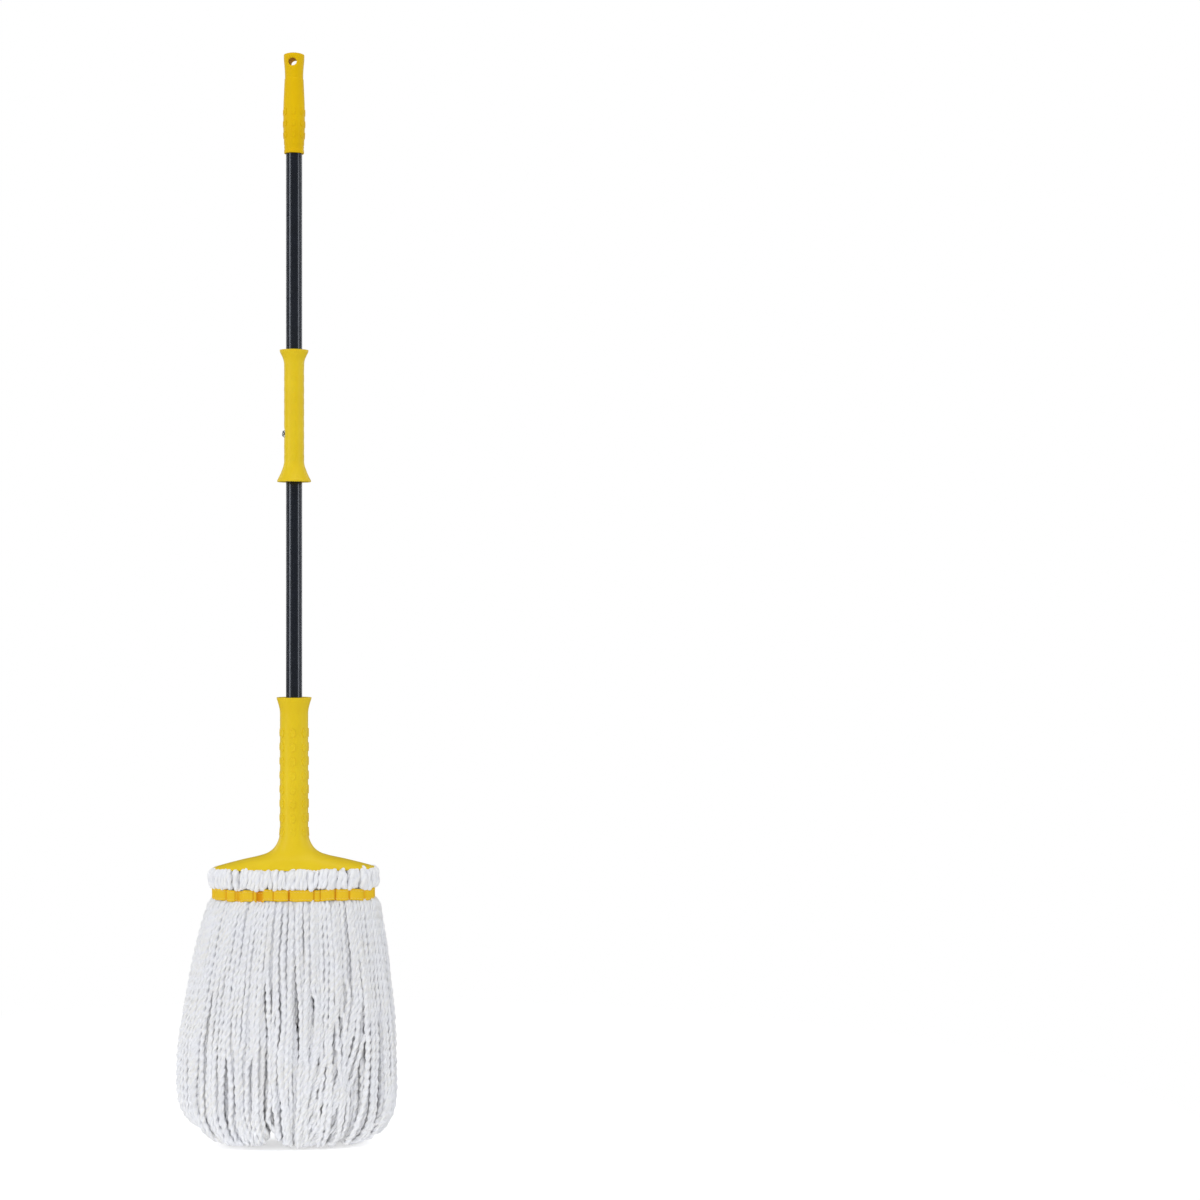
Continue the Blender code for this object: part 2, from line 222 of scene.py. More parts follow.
@dataclass(frozen=True)
class MouldedPolypropylene:
    """Injection-moulded polypropylene from a spark-eroded mould.

    The fine matt grain breaks up the highlight, and the colour drifts a little where the melt
    flowed, so a broad face never looks painted.
    """

    name: str
    colour: str
    drift: str
    roughness: float = 0.42
    shine: float = 0.32
    grain_mm: float = 0.55          # real grain is about 0.1 mm, drawn coarser so that it shows

    def make(self) -> bpy.types.Material:
        """Return the material."""
        material, tree, shader = blank_material(self.name)
        place = add_node(tree, "ShaderNodeTexCoord").outputs["Object"]
        flow = remap(tree, noise_on(tree, place, 38.0), 0.0, 1.0)
        tree.links.new(mix_colours(tree, flow, self.colour, self.drift), shader.inputs["Base Color"])
        grain = noise_on(tree, place, self.grain_mm, 3.0)
        rough = remap(tree, noise_on(tree, place, 9.0), self.roughness - 0.05, self.roughness + 0.07)
        tree.links.new(rough, shader.inputs["Roughness"])
        bump = add_node(tree, "ShaderNodeBump", values={"Strength": 0.30, "Distance": 0.06 * MM},
                        links={"Height": grain})
        tree.links.new(bump.outputs["Normal"], shader.inputs["Normal"])
        shader.inputs["IOR"].default_value = 1.49
        shader.inputs["Specular IOR Level"].default_value = self.shine
        shader.inputs["Subsurface Weight"].default_value = 0.06
        shader.inputs["Subsurface Radius"].default_value = (1.6 * MM, 1.1 * MM, 0.4 * MM)
        shader.inputs["Subsurface Scale"].default_value = 1.0
        return material


@dataclass(frozen=True)
class PowderCoatedSteel:
    """Steel tube with a baked gloss coat.

    The coat settles in a shallow orange peel, so straight highlights waver slightly.
    """

    name: str = "gloss_powder_coated_steel"
    colour: str = "#0C1018"
    drift: str = "#11151F"

    def make(self) -> bpy.types.Material:
        """Return the material."""
        material, tree, shader = blank_material(self.name)
        place = add_node(tree, "ShaderNodeTexCoord").outputs["Object"]
        drift = remap(tree, noise_on(tree, place, 14.0), 0.0, 1.0)
        tree.links.new(mix_colours(tree, drift, self.colour, self.drift), shader.inputs["Base Color"])
        rough = remap(tree, noise_on(tree, place, 5.0), 0.24, 0.29)
        tree.links.new(rough, shader.inputs["Roughness"])
        peel = add_node(tree, "ShaderNodeBump", values={"Strength": 0.10, "Distance": 0.02 * MM},
                        links={"Height": noise_on(tree, place, 3.0)})
        tree.links.new(peel.outputs["Normal"], shader.inputs["Normal"])
        shader.inputs["IOR"].default_value = 1.65
        shader.inputs["Specular IOR Level"].default_value = 0.8
        shader.inputs["Specular Tint"].default_value = (0.84, 0.90, 1.0, 1.0)
        return material


@dataclass(frozen=True)
class PliedYarn:
    """Soft spun yarn of two plies, bleached polyester and cotton.

    Fibres run along each ply and stand off it as a fine fuzz. The UV map's U runs once round a
    strand, with its two plies' crests at 0 and a half, and V runs along it in metres. The grooves
    between the plies are coloured a little darker, as painted shade.
    """

    name: str = "bleached_plied_yarn"
    crest: str = "#F8F9FE"
    # Colour of the fibre streaks, and also the painted shade in the grooves between the plies.
    streak_and_groove_shade: str = "#F2F3F8"
    warm: str = "#F8F7F5"
    fibres_round: float = 46.0
    fibre_mm: float = 5.5

    def make(self) -> bpy.types.Material:
        """Return the material."""
        material, tree, shader = blank_material(self.name)
        uv = add_node(tree, "ShaderNodeUVMap", {"uv_map": "strand"}).outputs["UV"]
        axes = add_node(tree, "ShaderNodeSeparateXYZ", links={"Vector": uv})
        turns = add_node(tree, "ShaderNodeMath", {"operation": "MULTIPLY"}, {1: 4 * math.pi},
                         {0: axes.outputs["X"]})
        lobe = add_node(tree, "ShaderNodeMath", {"operation": "COSINE"}, links={0: turns.outputs[0]})
        # Painted shade: 0 in the grooves between the plies, which get the darker colour.
        depth = remap(tree, lobe.outputs[0], 0.0, 1.0, -1.0, 0.1)
        along = add_node(tree, "ShaderNodeMapping", {"vector_type": "POINT"},
                         {"Scale": (self.fibres_round, 1 / (self.fibre_mm * MM), 1.0)}, {"Vector": uv})
        fibre = add_node(tree, "ShaderNodeTexNoise", values={"Scale": 1.0, "Detail": 3.0},
                         links={"Vector": along.outputs["Vector"]}).outputs["Fac"]
        place = add_node(tree, "ShaderNodeTexCoord").outputs["Object"]
        tint = remap(tree, noise_on(tree, place, 26.0), 0.0, 1.0)
        base = mix_colours(tree, tint, self.crest, self.warm)
        streak = remap(tree, fibre, 0.0, 0.35, 0.45, 0.75)
        base = mix_colours(tree, streak, base, self.streak_and_groove_shade)
        # Painted shade: the grooves between the plies take the darker colour.
        base = mix_colours(tree, depth, self.streak_and_groove_shade, base)
        tree.links.new(base, shader.inputs["Base Color"])
        fuzz = noise_on(tree, place, 1.1, 3.0)
        height = add_node(tree, "ShaderNodeMath", {"operation": "MULTIPLY_ADD"}, {1: 0.5},
                          {0: fuzz, 2: fibre})
        bump = add_node(tree, "ShaderNodeBump", values={"Strength": 0.9, "Distance": 0.6 * MM},
                        links={"Height": height.outputs[0]})
        tree.links.new(bump.outputs["Normal"], shader.inputs["Normal"])
        shader.inputs["Roughness"].default_value = 0.95
        shader.inputs["Specular IOR Level"].default_value = 0.2
        shader.inputs["Sheen Weight"].default_value = 0.25
        shader.inputs["Sheen Roughness"].default_value = 0.6
        shader.inputs["Subsurface Weight"].default_value = 0.15
        shader.inputs["Subsurface Radius"].default_value = (1.0, 1.0, 1.0)
        shader.inputs["Subsurface Scale"].default_value = 1.5 * MM
        return material


@dataclass(frozen=True)
class HerringboneTape:
    """Dyed cotton tape in a herringbone weave.

    The twill's ridges lean one way and then the other across the tape. The UV map is in metres,
    U along the tape and V across it. A point attribute is 1 in the deepest folds, where a darker
    orange is painted in as the folds' shade.
    """

    name: str = "woven_cotton_tape"
    ridge: str = "#F4D034"
    valley: str = "#EEBE26"
    # Painted shade colour for the deepest folds.
    fold_shade: str = "#DC8A0C"
    ridge_mm: float = 1.5           # real ridges are about 1 mm apart, drawn coarser so they show
    chevron_mm: float = 10.4

    def make(self) -> bpy.types.Material:
        """Return the material."""
        material, tree, shader = blank_material(self.name)
        uv = add_node(tree, "ShaderNodeUVMap", {"uv_map": "tape"}).outputs["UV"]
        axes = add_node(tree, "ShaderNodeSeparateXYZ", links={"Vector": uv})
        zigzag = add_node(tree, "ShaderNodeMath", {"operation": "PINGPONG"}, {1: self.chevron_mm * MM / 2},
                          {0: axes.outputs["Y"]})
        slant = add_node(tree, "ShaderNodeMath", {"operation": "ADD"},
                         links={0: axes.outputs["X"], 1: zigzag.outputs[0]})
        turns = add_node(tree, "ShaderNodeMath", {"operation": "MULTIPLY"},
                         {1: math.tau / (self.ridge_mm * MM)}, {0: slant.outputs[0]})
        wave = add_node(tree, "ShaderNodeMath", {"operation": "SINE"}, links={0: turns.outputs[0]})
        threads = add_node(tree, "ShaderNodeMapping", {}, {"Scale": (900.0, 2600.0, 1.0)}, {"Vector": uv})
        nap = add_node(tree, "ShaderNodeTexNoise", values={"Scale": 1.0, "Detail": 2.0},
                       links={"Vector": threads.outputs["Vector"]}).outputs["Fac"]
        ridge = remap(tree, wave.outputs[0], 0.0, 1.0, -0.8, 0.8)
        base = mix_colours(tree, ridge, self.valley, self.ridge)
        base = mix_colours(tree, remap(tree, nap, 0.0, 0.4, 0.5, 0.9), base, self.valley)
        # Painted shade: the folds get a darker orange, more where the tape sinks deeper.
        fold_shade = add_node(tree, "ShaderNodeAttribute", {"attribute_name": "fold_shade"}).outputs["Fac"]
        base = mix_colours(tree, fold_shade, base, self.fold_shade)
        tree.links.new(base, shader.inputs["Base Color"])
        height = add_node(tree, "ShaderNodeMath", {"operation": "MULTIPLY_ADD"}, {1: 0.5},
                          {0: nap, 2: ridge})
        bump = add_node(tree, "ShaderNodeBump", values={"Strength": 0.8, "Distance": 0.25 * MM},
                        links={"Height": height.outputs[0]})
        tree.links.new(bump.outputs["Normal"], shader.inputs["Normal"])
        shader.inputs["Roughness"].default_value = 0.9
        shader.inputs["Specular IOR Level"].default_value = 0.1
        return material


@dataclass(frozen=True)
class SewingThread:
    """Pale polyester thread, twisted, with a slight gloss."""

    name: str = "pale_sewing_thread"
    colour: str = "#FFE58F"
    shade: str = "#F2CE66"

    def make(self) -> bpy.types.Material:
        """Return the material."""
        material, tree, shader = blank_material(self.name)
        place = add_node(tree, "ShaderNodeTexCoord").outputs["Object"]
        lay = noise_on(tree, place, 0.7)
        tree.links.new(mix_colours(tree, remap(tree, lay, 0.0, 1.0), self.colour, self.shade),
                       shader.inputs["Base Color"])
        bump = add_node(tree, "ShaderNodeBump", values={"Strength": 0.4, "Distance": 0.1 * MM},
                        links={"Height": lay})
        tree.links.new(bump.outputs["Normal"], shader.inputs["Normal"])
        shader.inputs["Roughness"].default_value = 0.55
        shader.inputs["Sheen Weight"].default_value = 0.15
        return material


@dataclass(frozen=True)
class PlatedSteel:
    """Steel with a metal plating, bright from polishing or grey from zinc.

    Zinc shows a faint spangle, and a polished dome only fine handling marks.
    """

    name: str
    colour: str
    shade: str
    roughness: float
    spangle_mm: float

    def make(self) -> bpy.types.Material:
        """Return the material."""
        material, tree, shader = blank_material(self.name)
        place = add_node(tree, "ShaderNodeTexCoord").outputs["Object"]
        spangle = noise_on(tree, place, self.spangle_mm)
        tree.links.new(mix_colours(tree, remap(tree, spangle, 0.0, 1.0), self.colour, self.shade),
                       shader.inputs["Base Color"])
        rough = remap(tree, noise_on(tree, place, self.spangle_mm / 2), self.roughness * 0.8,
                      self.roughness * 1.25)
        tree.links.new(rough, shader.inputs["Roughness"])
        bump = add_node(tree, "ShaderNodeBump", values={"Strength": 0.12, "Distance": 0.03 * MM},
                        links={"Height": noise_on(tree, place, 0.4)})
        tree.links.new(bump.outputs["Normal"], shader.inputs["Normal"])
        shader.inputs["Metallic"].default_value = 1.0
        return material


@dataclass(frozen=True)
class PaperFloor:
    """Matt white studio paper, lit from below so that it fades to white away from the mop."""

    name: str = "studio_paper"
    near: float = 0.30
    far: float = 1.30

    def make(self) -> bpy.types.Material:
        """Return the material."""
        material, tree, shader = blank_material(self.name)
        place = add_node(tree, "ShaderNodeTexCoord").outputs["Object"]
        tone = remap(tree, noise_on(tree, place, 900.0), 0.0, 1.0)
        away = add_node(tree, "ShaderNodeVectorMath", {"operation": "LENGTH"}, links={0: place})
        fade = remap(tree, away.outputs["Value"], 0.0, 1.0, self.near, self.far)
        paper = mix_colours(tree, tone, "#F7F7F7", "#FBFBFB")
        tree.links.new(mix_colours(tree, fade, paper, "#000000"), shader.inputs["Base Color"])
        shader.inputs["Roughness"].default_value = 0.9
        shader.inputs["Specular IOR Level"].default_value = 0.0
        path = add_node(tree, "ShaderNodeLightPath")
        mirrored = remap(tree, path.outputs["Is Glossy Ray"], 0.50, 0.15, 0.0, 1.0)
        bright = add_node(tree, "ShaderNodeMath", {"operation": "MAXIMUM"},
                          links={0: mirrored, 1: path.outputs["Is Camera Ray"]}).outputs[0]
        near = remap(tree, path.outputs["Is Camera Ray"], 0.20, 0.46, 0.0, 1.0)
        strength = add_node(tree, "ShaderNodeMix", {"data_type": "FLOAT"},
                            links={"Factor": fade, "A": near, "B": bright})
        tree.links.new(strength.outputs["Result"], shader.inputs["Emission Strength"])
        shader.inputs["Emission Color"].default_value = (1.0, 1.0, 1.0, 1.0)
        return material


class Finishes:
    """Every finish of the mop, each made once."""

    def __init__(self) -> None:
        """Make the materials."""
        self.plastic = MouldedPolypropylene("yellow_polypropylene", "#EACB18", "#E6C512").make()
        self.deep_plastic = MouldedPolypropylene("deep_yellow_polypropylene", "#E6BE00", "#E0B600",
                                                 0.46, 0.12).make()
        self.grey = MouldedPolypropylene("grey_polypropylene", "#5A5C60", "#525458", 0.5).make()
        self.coat = PowderCoatedSteel().make()
        self.yarn = PliedYarn().make()
        self.tape = HerringboneTape().make()
        self.thread = SewingThread().make()
        self.chrome = PlatedSteel("polished_chrome_steel", "#D9DADC", "#CBCCCF", 0.10, 2.5).make()
        self.zinc = PlatedSteel("zinc_plated_steel", "#B5B8BC", "#A3A6AB", 0.34, 1.5).make()

    def of(self, slot: Slot) -> bpy.types.Material:
        """Return the material that a record's slot takes."""
        return {Slot.PLASTIC: self.plastic, Slot.GREY: self.grey, Slot.COAT: self.coat,
                Slot.YARN: self.yarn, Slot.TAPE: self.tape, Slot.CHROME: self.chrome,
                Slot.ZINC: self.zinc}[slot]


# --------------------------------------------------------------------------- modelling tools


def deselect_all() -> None:
    """Leave nothing selected."""
    for obj in bpy.context.selected_objects:
        obj.select_set(False)


def make_active(obj: bpy.types.Object) -> None:
    """Select one object alone and make it active."""
    deselect_all()
    obj.select_set(True)
    bpy.context.view_layer.objects.active = obj


def points_of(obj: bpy.types.Object) -> Array:
    """Return a mesh object's points as rows of x, y, z."""
    found = np.empty(len(obj.data.vertices) * 3)
    obj.data.vertices.foreach_get("co", found)
    return found.reshape(-1, 3)


def superellipse(angle: Array, half_width: Array, half_depth: Array, power: Array) -> tuple[Array, Array]:
    """Points of rounded oblongs round Z.

    Args:
        angle: Direction parameter, from +X towards +Y.
        half_width: Reach along X.
        half_depth: Reach along Y.
        power: 2 for an ellipse, more for a squarer oblong.

    Returns:
        The x and the y values.
    """
    cosine, sine = np.cos(angle), np.sin(angle)
    x = half_width * np.sign(cosine) * np.abs(cosine) ** (2 / power)
    y = half_depth * np.sign(sine) * np.abs(sine) ** (2 / power)
    return x, y


@dataclass(frozen=True)
class Corner:
    """A corner of an outline: its radius from the axis, its height, and how far it is rounded."""

    reach: float
    height: float
    rounding: float = 0.0


def rounded_outline(corners: Sequence[Corner], closed: bool, arc_points: int = 5) -> Array:
    """Round an outline's corners.

    Args:
        corners: The outline, down the outer side first.
        closed: Whether the last corner joins the first.
        arc_points: Points on each rounded corner.

    Returns:
        Rows of reach and height.
    """
    raw = np.array([(c.reach, c.height) for c in corners])
    count, rows = len(raw), []
    for i, corner in enumerate(corners):
        inner = closed or 0 < i < count - 1
        if not (inner and corner.rounding > 0):
            rows.append(raw[i])
            continue
        before, after = raw[i - 1] - raw[i], raw[(i + 1) % count] - raw[i]
        length_before, length_after = np.linalg.norm(before), np.linalg.norm(after)
        cut = min(corner.rounding, 0.48 * length_before, 0.48 * length_after)
        start, end = raw[i] + before / length_before * cut, raw[i] + after / length_after * cut
        for share in np.linspace(0, 1, arc_points):
            rows.append((1 - share) ** 2 * start + 2 * share * (1 - share) * raw[i] + share ** 2 * end)
    return np.array(rows)


def fine_between(outline: Array, low: float, high: float, step: float) -> Array:
    """Put extra points on an outline's long stretches between two heights, on its outer side.

    Args:
        outline: Rows of reach and height, down the outer side first.
        low: The lower height.
        high: The upper height.
        step: The greatest distance between points there.

    Returns:
        The outline with its extra points.
    """
    lowest = int(np.argmin(outline[:, 1]))
    rows = [outline[0]]
    for i, (first, second) in enumerate(zip(outline, outline[1:])):
        middle = (first[1] + second[1]) / 2
        parts = 1
        if i < lowest and low <= middle <= high:
            parts = max(1, math.ceil(np.linalg.norm(second - first) / step))
        rows += [first + (second - first) * k / parts for k in range(1, parts + 1)]
    return np.array(rows)


def round_section(reach: Array) -> tuple[Array, Array]:
    """Say that a section is a circle: its depth equals its reach, and its power is 2."""
    return reach, np.full_like(reach, 2.0)


Relief = Callable[[Array, Array], Array]


@dataclass
class Skin:
    """A closed skin round Z, made from a cylinder that is cut into rings and drawn to an outline."""

    name: str
    outline: Array
    sides: int = 96
    closed: bool = True
    section: Callable[[Array], tuple[Array, Array]] = round_section
    relief: Relief | None = None

    def blank(self) -> bpy.types.Object:
        """Return an open unit cylinder with a ring of points for each point of the outline."""
        deselect_all()
        bpy.ops.mesh.primitive_cylinder_add(vertices=self.sides, radius=1.0, depth=1.0,
                                            end_fill_type="NOTHING")
        obj = bpy.context.active_object
        bpy.ops.object.mode_set(mode="EDIT")
        bpy.ops.mesh.select_mode(type="EDGE")
        bpy.ops.mesh.select_all(action="DESELECT")
        mesh = bmesh.from_edit_mesh(obj.data)
        for edge in mesh.edges:
            edge.select = abs(edge.verts[0].co.z - edge.verts[1].co.z) > 0.5
        bmesh.update_edit_mesh(obj.data)
        bpy.ops.mesh.subdivide(number_cuts=len(self.outline) - 2)
        bpy.ops.object.mode_set(mode="OBJECT")
        return obj

    def draw(self, obj: bpy.types.Object) -> None:
        """Move the blank's rings to the outline, with the relief on its outer side.

        Args:
            obj: The blank.
        """
        points = points_of(obj)
        ring = np.rint((0.5 - points[:, 2]) * (len(self.outline) - 1)).astype(int)
        angle = np.arctan2(points[:, 1], points[:, 0])
        reach, height = self.outline[ring, 0], self.outline[ring, 1]
        depth, power = self.section(reach)
        x, y = superellipse(angle, reach, depth, power)
        if self.relief is not None:
            outside = ring <= int(np.argmin(self.outline[:, 1]))
            proud = np.where(outside, self.relief(angle, height), 0.0)
            away = np.hypot(x, y) + 1e-9
            x, y = x + x / away * proud, y + y / away * proud
        obj.data.vertices.foreach_set("co", np.column_stack([x, y, height]).ravel())
        obj.data.update()

    def build(self) -> bpy.types.Object:
        """Return the finished skin, closed and shaded smooth."""
        obj = self.blank()
        self.draw(obj)
        obj.name = obj.data.name = self.name
        bpy.ops.object.mode_set(mode="EDIT")
        bpy.ops.mesh.select_all(action="DESELECT")
        bpy.ops.mesh.select_non_manifold(extend=False, use_wire=False, use_multi_face=False,
                                         use_non_contiguous=False, use_verts=False)
        if self.closed:
            bpy.ops.mesh.bridge_edge_loops()
        else:
            bpy.ops.mesh.edge_face_add()
        bpy.ops.mesh.select_all(action="SELECT")
        bpy.ops.mesh.normals_make_consistent(inside=False)
        bpy.ops.object.mode_set(mode="OBJECT")
        bpy.ops.object.shade_smooth_by_angle(angle=math.radians(38))
        return obj


def cut_hole(obj: bpy.types.Object, cutter: bpy.types.Object) -> None:
    """Cut one object out of another and remove the cutter.

    Args:
        obj: The object to cut.
        cutter: A closed object.
    """
    make_active(obj)
    cut = obj.modifiers.new("hole", "BOOLEAN")
    cut.operation, cut.solver, cut.object = "DIFFERENCE", "EXACT", cutter
    bpy.ops.object.modifier_apply(modifier=cut.name)
    bpy.data.objects.remove(cutter, do_unlink=True)


def rod(radius: float, length: float, place: Sequence[float], axis: Sequence[float],
        flatten: float = 1.0, sides: int = 48) -> bpy.types.Object:
    """Add a plain rod, for cutting.

    Args:
        radius: Its radius.
        length: Its length.
        place: Its middle.
        axis: The direction it runs in.
        flatten: Its height as a share of its width, for an oval hole.
        sides: Facets round it.

    Returns:
        The rod.
    """
    deselect_all()
    bpy.ops.mesh.primitive_cylinder_add(vertices=sides, radius=radius, depth=length)
    obj = bpy.context.active_object
    turn = Vector(axis).to_track_quat("Z", "Y").to_matrix().to_4x4()
    obj.data.transform(Matrix.Translation(place) @ turn @ Matrix.Diagonal((1, flatten, 1, 1)))
    return obj


def smooth_paths(controls: Array, rings: int) -> tuple[Array, Array]:
    """Draw smooth lines through control points, with their points spread evenly.

    Args:
        controls: Paths by control point by x, y, z.
        rings: Points wanted on each line.

    Returns:
        The lines' points, and the distance along each line at each point.
    """
    padded = np.concatenate([2 * controls[:, :1] - controls[:, 1:2], controls,
                             2 * controls[:, -1:] - controls[:, -2:-1]], axis=1)
    share = np.linspace(0, 1, 9)[:-1][None, None, :, None]
    p0, p1, p2, p3 = (padded[:, i:padded.shape[1] - 3 + i, None, :] for i in range(4))
    fine = 0.5 * (2 * p1 + (p2 - p0) * share + (2 * p0 - 5 * p1 + 4 * p2 - p3) * share ** 2
                  + (3 * p1 - p0 - 3 * p2 + p3) * share ** 3)
    fine = np.concatenate([fine.reshape(len(controls), -1, 3), controls[:, -1:]], axis=1)
    steps = np.linalg.norm(np.diff(fine, axis=1), axis=2)
    along = np.concatenate([np.zeros((len(fine), 1)), np.cumsum(steps, axis=1)], axis=1)
    lines, lengths = [], []
    for line, distance in zip(fine, along):
        wanted = np.linspace(0, distance[-1], rings)
        lines.append(np.column_stack([np.interp(wanted, distance, line[:, k]) for k in range(3)]))
        lengths.append(wanted)
    return np.array(lines), np.array(lengths)


@dataclass
class StrandSweep:
    """Plied strands swept along lines: a two-lobed section that turns as it goes."""

    name: str
    radius: float
    sides: int = 12
    lobes: float = 0.19             # how far the plies stand out, as a share of the radius
    pitch: float = 24 * MM          # length of one full turn of the plies
    step: float = 2.9 * MM
    seed: int = 1
    start_share: float = 0.55       # of the radius, at a strand's first end
    swell: tuple[float, float] = (0.0, 3 * MM)

    def frames(self, lines: Array) -> tuple[Array, Array]:
        """Find two directions across each line that turn as little as they can.

        Args:
            lines: Lines by point by x, y, z.

        Returns:
            The two directions, unit and square to the line.
        """
        ahead = np.gradient(lines, axis=1)
        ahead /= np.linalg.norm(ahead, axis=2, keepdims=True) + 1e-12
        across = np.empty_like(ahead)
        first = np.cross(ahead[:, 0], [0.31, 0.95, 0.02])
        across[:, 0] = first / np.linalg.norm(first, axis=1, keepdims=True)
        for i in range(1, ahead.shape[1]):
            kept = across[:, i - 1]
            kept = kept - (kept * ahead[:, i]).sum(1, keepdims=True) * ahead[:, i]
            across[:, i] = kept / np.linalg.norm(kept, axis=1, keepdims=True)
        return across, np.cross(ahead, across)

    def build(self, controls: Array, thickness: Array | None = None) -> bpy.types.Object:
        """Sweep the strands and join them in one mesh.

        Args:
            controls: Paths by control point by x, y, z.
            thickness: Each path's radius as a share of the usual one.

        Returns:
            The mesh object, with a UV map named strand.
        """
        rng = np.random.default_rng(self.seed)
        length = float(np.linalg.norm(np.diff(controls, axis=1), axis=2).sum(1).max())
        rings = max(6, math.ceil(length / self.step))
        lines, along = smooth_paths(controls, rings)
        u_axis, v_axis = self.frames(lines)
        count = len(lines)
        share = np.ones(count) if thickness is None else thickness
        lumps = sum(amount * np.sin(along / (wave * MM) + rng.uniform(0, math.tau, (count, 1)))
                    for wave, amount in ((1.9, 0.03), (3.1, 0.045), (5.3, 0.045), (9.7, 0.04)))
        radius = self.radius * share[:, None] * (1 + lumps)
        start = np.clip((along - self.swell[0]) / (self.swell[1] - self.swell[0]), 0, 1)
        end = np.clip((along[:, -1:] - along) / (3 * MM), 0, 1)
        radius = radius * (self.start_share + (1 - self.start_share) * start) * (0.55 + 0.45 * end)
        around = math.tau * np.arange(self.sides) / self.sides
        section = 1 - self.lobes + self.lobes * np.cos(2 * around)
        turn = math.tau * along / self.pitch + rng.uniform(0, math.tau, (count, 1))
        angle = turn[:, :, None] + around[None, None, :]
        reach = radius[:, :, None] * section[None, None, :]
        points = (lines[:, :, None, :] + (reach * np.cos(angle))[..., None] * u_axis[:, :, None, :]
                  + (reach * np.sin(angle))[..., None] * v_axis[:, :, None, :])
        return self.mesh(points, along)

    def mesh(self, points: Array, along: Array) -> bpy.types.Object:
        """Join swept rings with faces.

        Args:
            points: Strands by ring by side by x, y, z.
            along: Distance along each strand at each ring.

        Returns:
            The mesh object.
        """
        count, rings, sides, _ = points.shape
        base = np.arange(count)[:, None, None] * rings * sides
        ring, side = np.arange(rings - 1)[None, :, None], np.arange(sides)[None, None, :]
        after = (side + 1) % sides
        quads = np.stack([base + ring * sides + side, base + ring * sides + after,
                          base + (ring + 1) * sides + after, base + (ring + 1) * sides + side], -1)
        start = (np.arange(count)[:, None] * rings * sides + np.arange(sides)[None, ::-1])
        end = np.arange(count)[:, None] * rings * sides + (rings - 1) * sides + np.arange(sides)
        faces = quads.reshape(-1, 4).tolist() + start.tolist() + end.tolist()
        mesh = bpy.data.meshes.new(self.name)
        mesh.from_pydata(points.reshape(-1, 3).tolist(), [], faces)
        u = np.broadcast_to(side / sides, quads.shape[:3])
        v_low = np.broadcast_to(along[:, :-1, None], quads.shape[:3])
        v_high = np.broadcast_to(along[:, 1:, None], quads.shape[:3])
        corners = np.stack([np.stack([u, v_low], -1), np.stack([u + 1 / sides, v_low], -1),
                            np.stack([u + 1 / sides, v_high], -1), np.stack([u, v_high], -1)], -2)
        caps = np.zeros((2 * count * sides, 2))
        layer = mesh.uv_layers.new(name="strand")
        layer.data.foreach_set("uv", np.concatenate([corners.reshape(-1, 2), caps]).ravel())
        mesh.shade_smooth()
        obj = bpy.data.objects.new(self.name, mesh)
        bpy.context.scene.collection.objects.link(obj)
        return obj


class Dresser:
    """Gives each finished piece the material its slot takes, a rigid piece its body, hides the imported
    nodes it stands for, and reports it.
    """

    def __init__(self, finishes: Finishes) -> None:
        """Keep the finishes."""
        self.finishes = finishes

    def paint(self, obj: bpy.types.Object, slot: Slot, material: bpy.types.Material | None = None) -> None:
        """Put one material on a piece: the one its slot takes, or the one given in its place.

        Args:
            obj: The piece.
            slot: The record's slot.
            material: A material in place of the slot's usual one.
        """
        obj.data.materials.clear()
        obj.data.materials.append(material or self.finishes.of(slot))

    def ride(self, obj: bpy.types.Object, slot: Slot, body: Body, nodes: Iterable[str] = (),
             material: bpy.types.Material | None = None) -> bpy.types.Object:
        """Finish a rigid piece.

        Args:
            obj: The piece.
            slot: The record's slot.
            body: The body it moves with.
            nodes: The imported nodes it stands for.
            material: A material in place of the slot's usual one.

        Returns:
            The piece.
        """
        self.paint(obj, slot, material)
        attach(obj, body.value)
        if nodes:
            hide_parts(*nodes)
        LOG.info("%s rides on %s", obj.name, body.value)
        return obj

    def bend(self, obj: bpy.types.Object, slot: Slot, bodies: tuple[Body, Body],
             heights: tuple[float, float], nodes: Iterable[str] = ()) -> bpy.types.Object:
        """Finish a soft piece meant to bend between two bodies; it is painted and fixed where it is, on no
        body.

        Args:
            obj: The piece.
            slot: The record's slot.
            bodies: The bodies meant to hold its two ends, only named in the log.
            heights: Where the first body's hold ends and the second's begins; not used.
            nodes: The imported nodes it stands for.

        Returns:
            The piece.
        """
        self.paint(obj, slot)
        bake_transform(obj)
        if nodes:
            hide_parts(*nodes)
        LOG.info("%s bends from %s to %s", obj.name, bodies[0].value, bodies[1].value)
        return obj

    def repaint(self, node: str, slot: Slot) -> None:
        """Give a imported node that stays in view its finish."""
        obj = bpy.data.objects[node]
        material = self.finishes.of(slot)
        if obj.material_slots:
            for place in obj.material_slots:
                place.material = material
        else:
            obj.data.materials.append(material)
        LOG.info("%s keeps its shape", node)


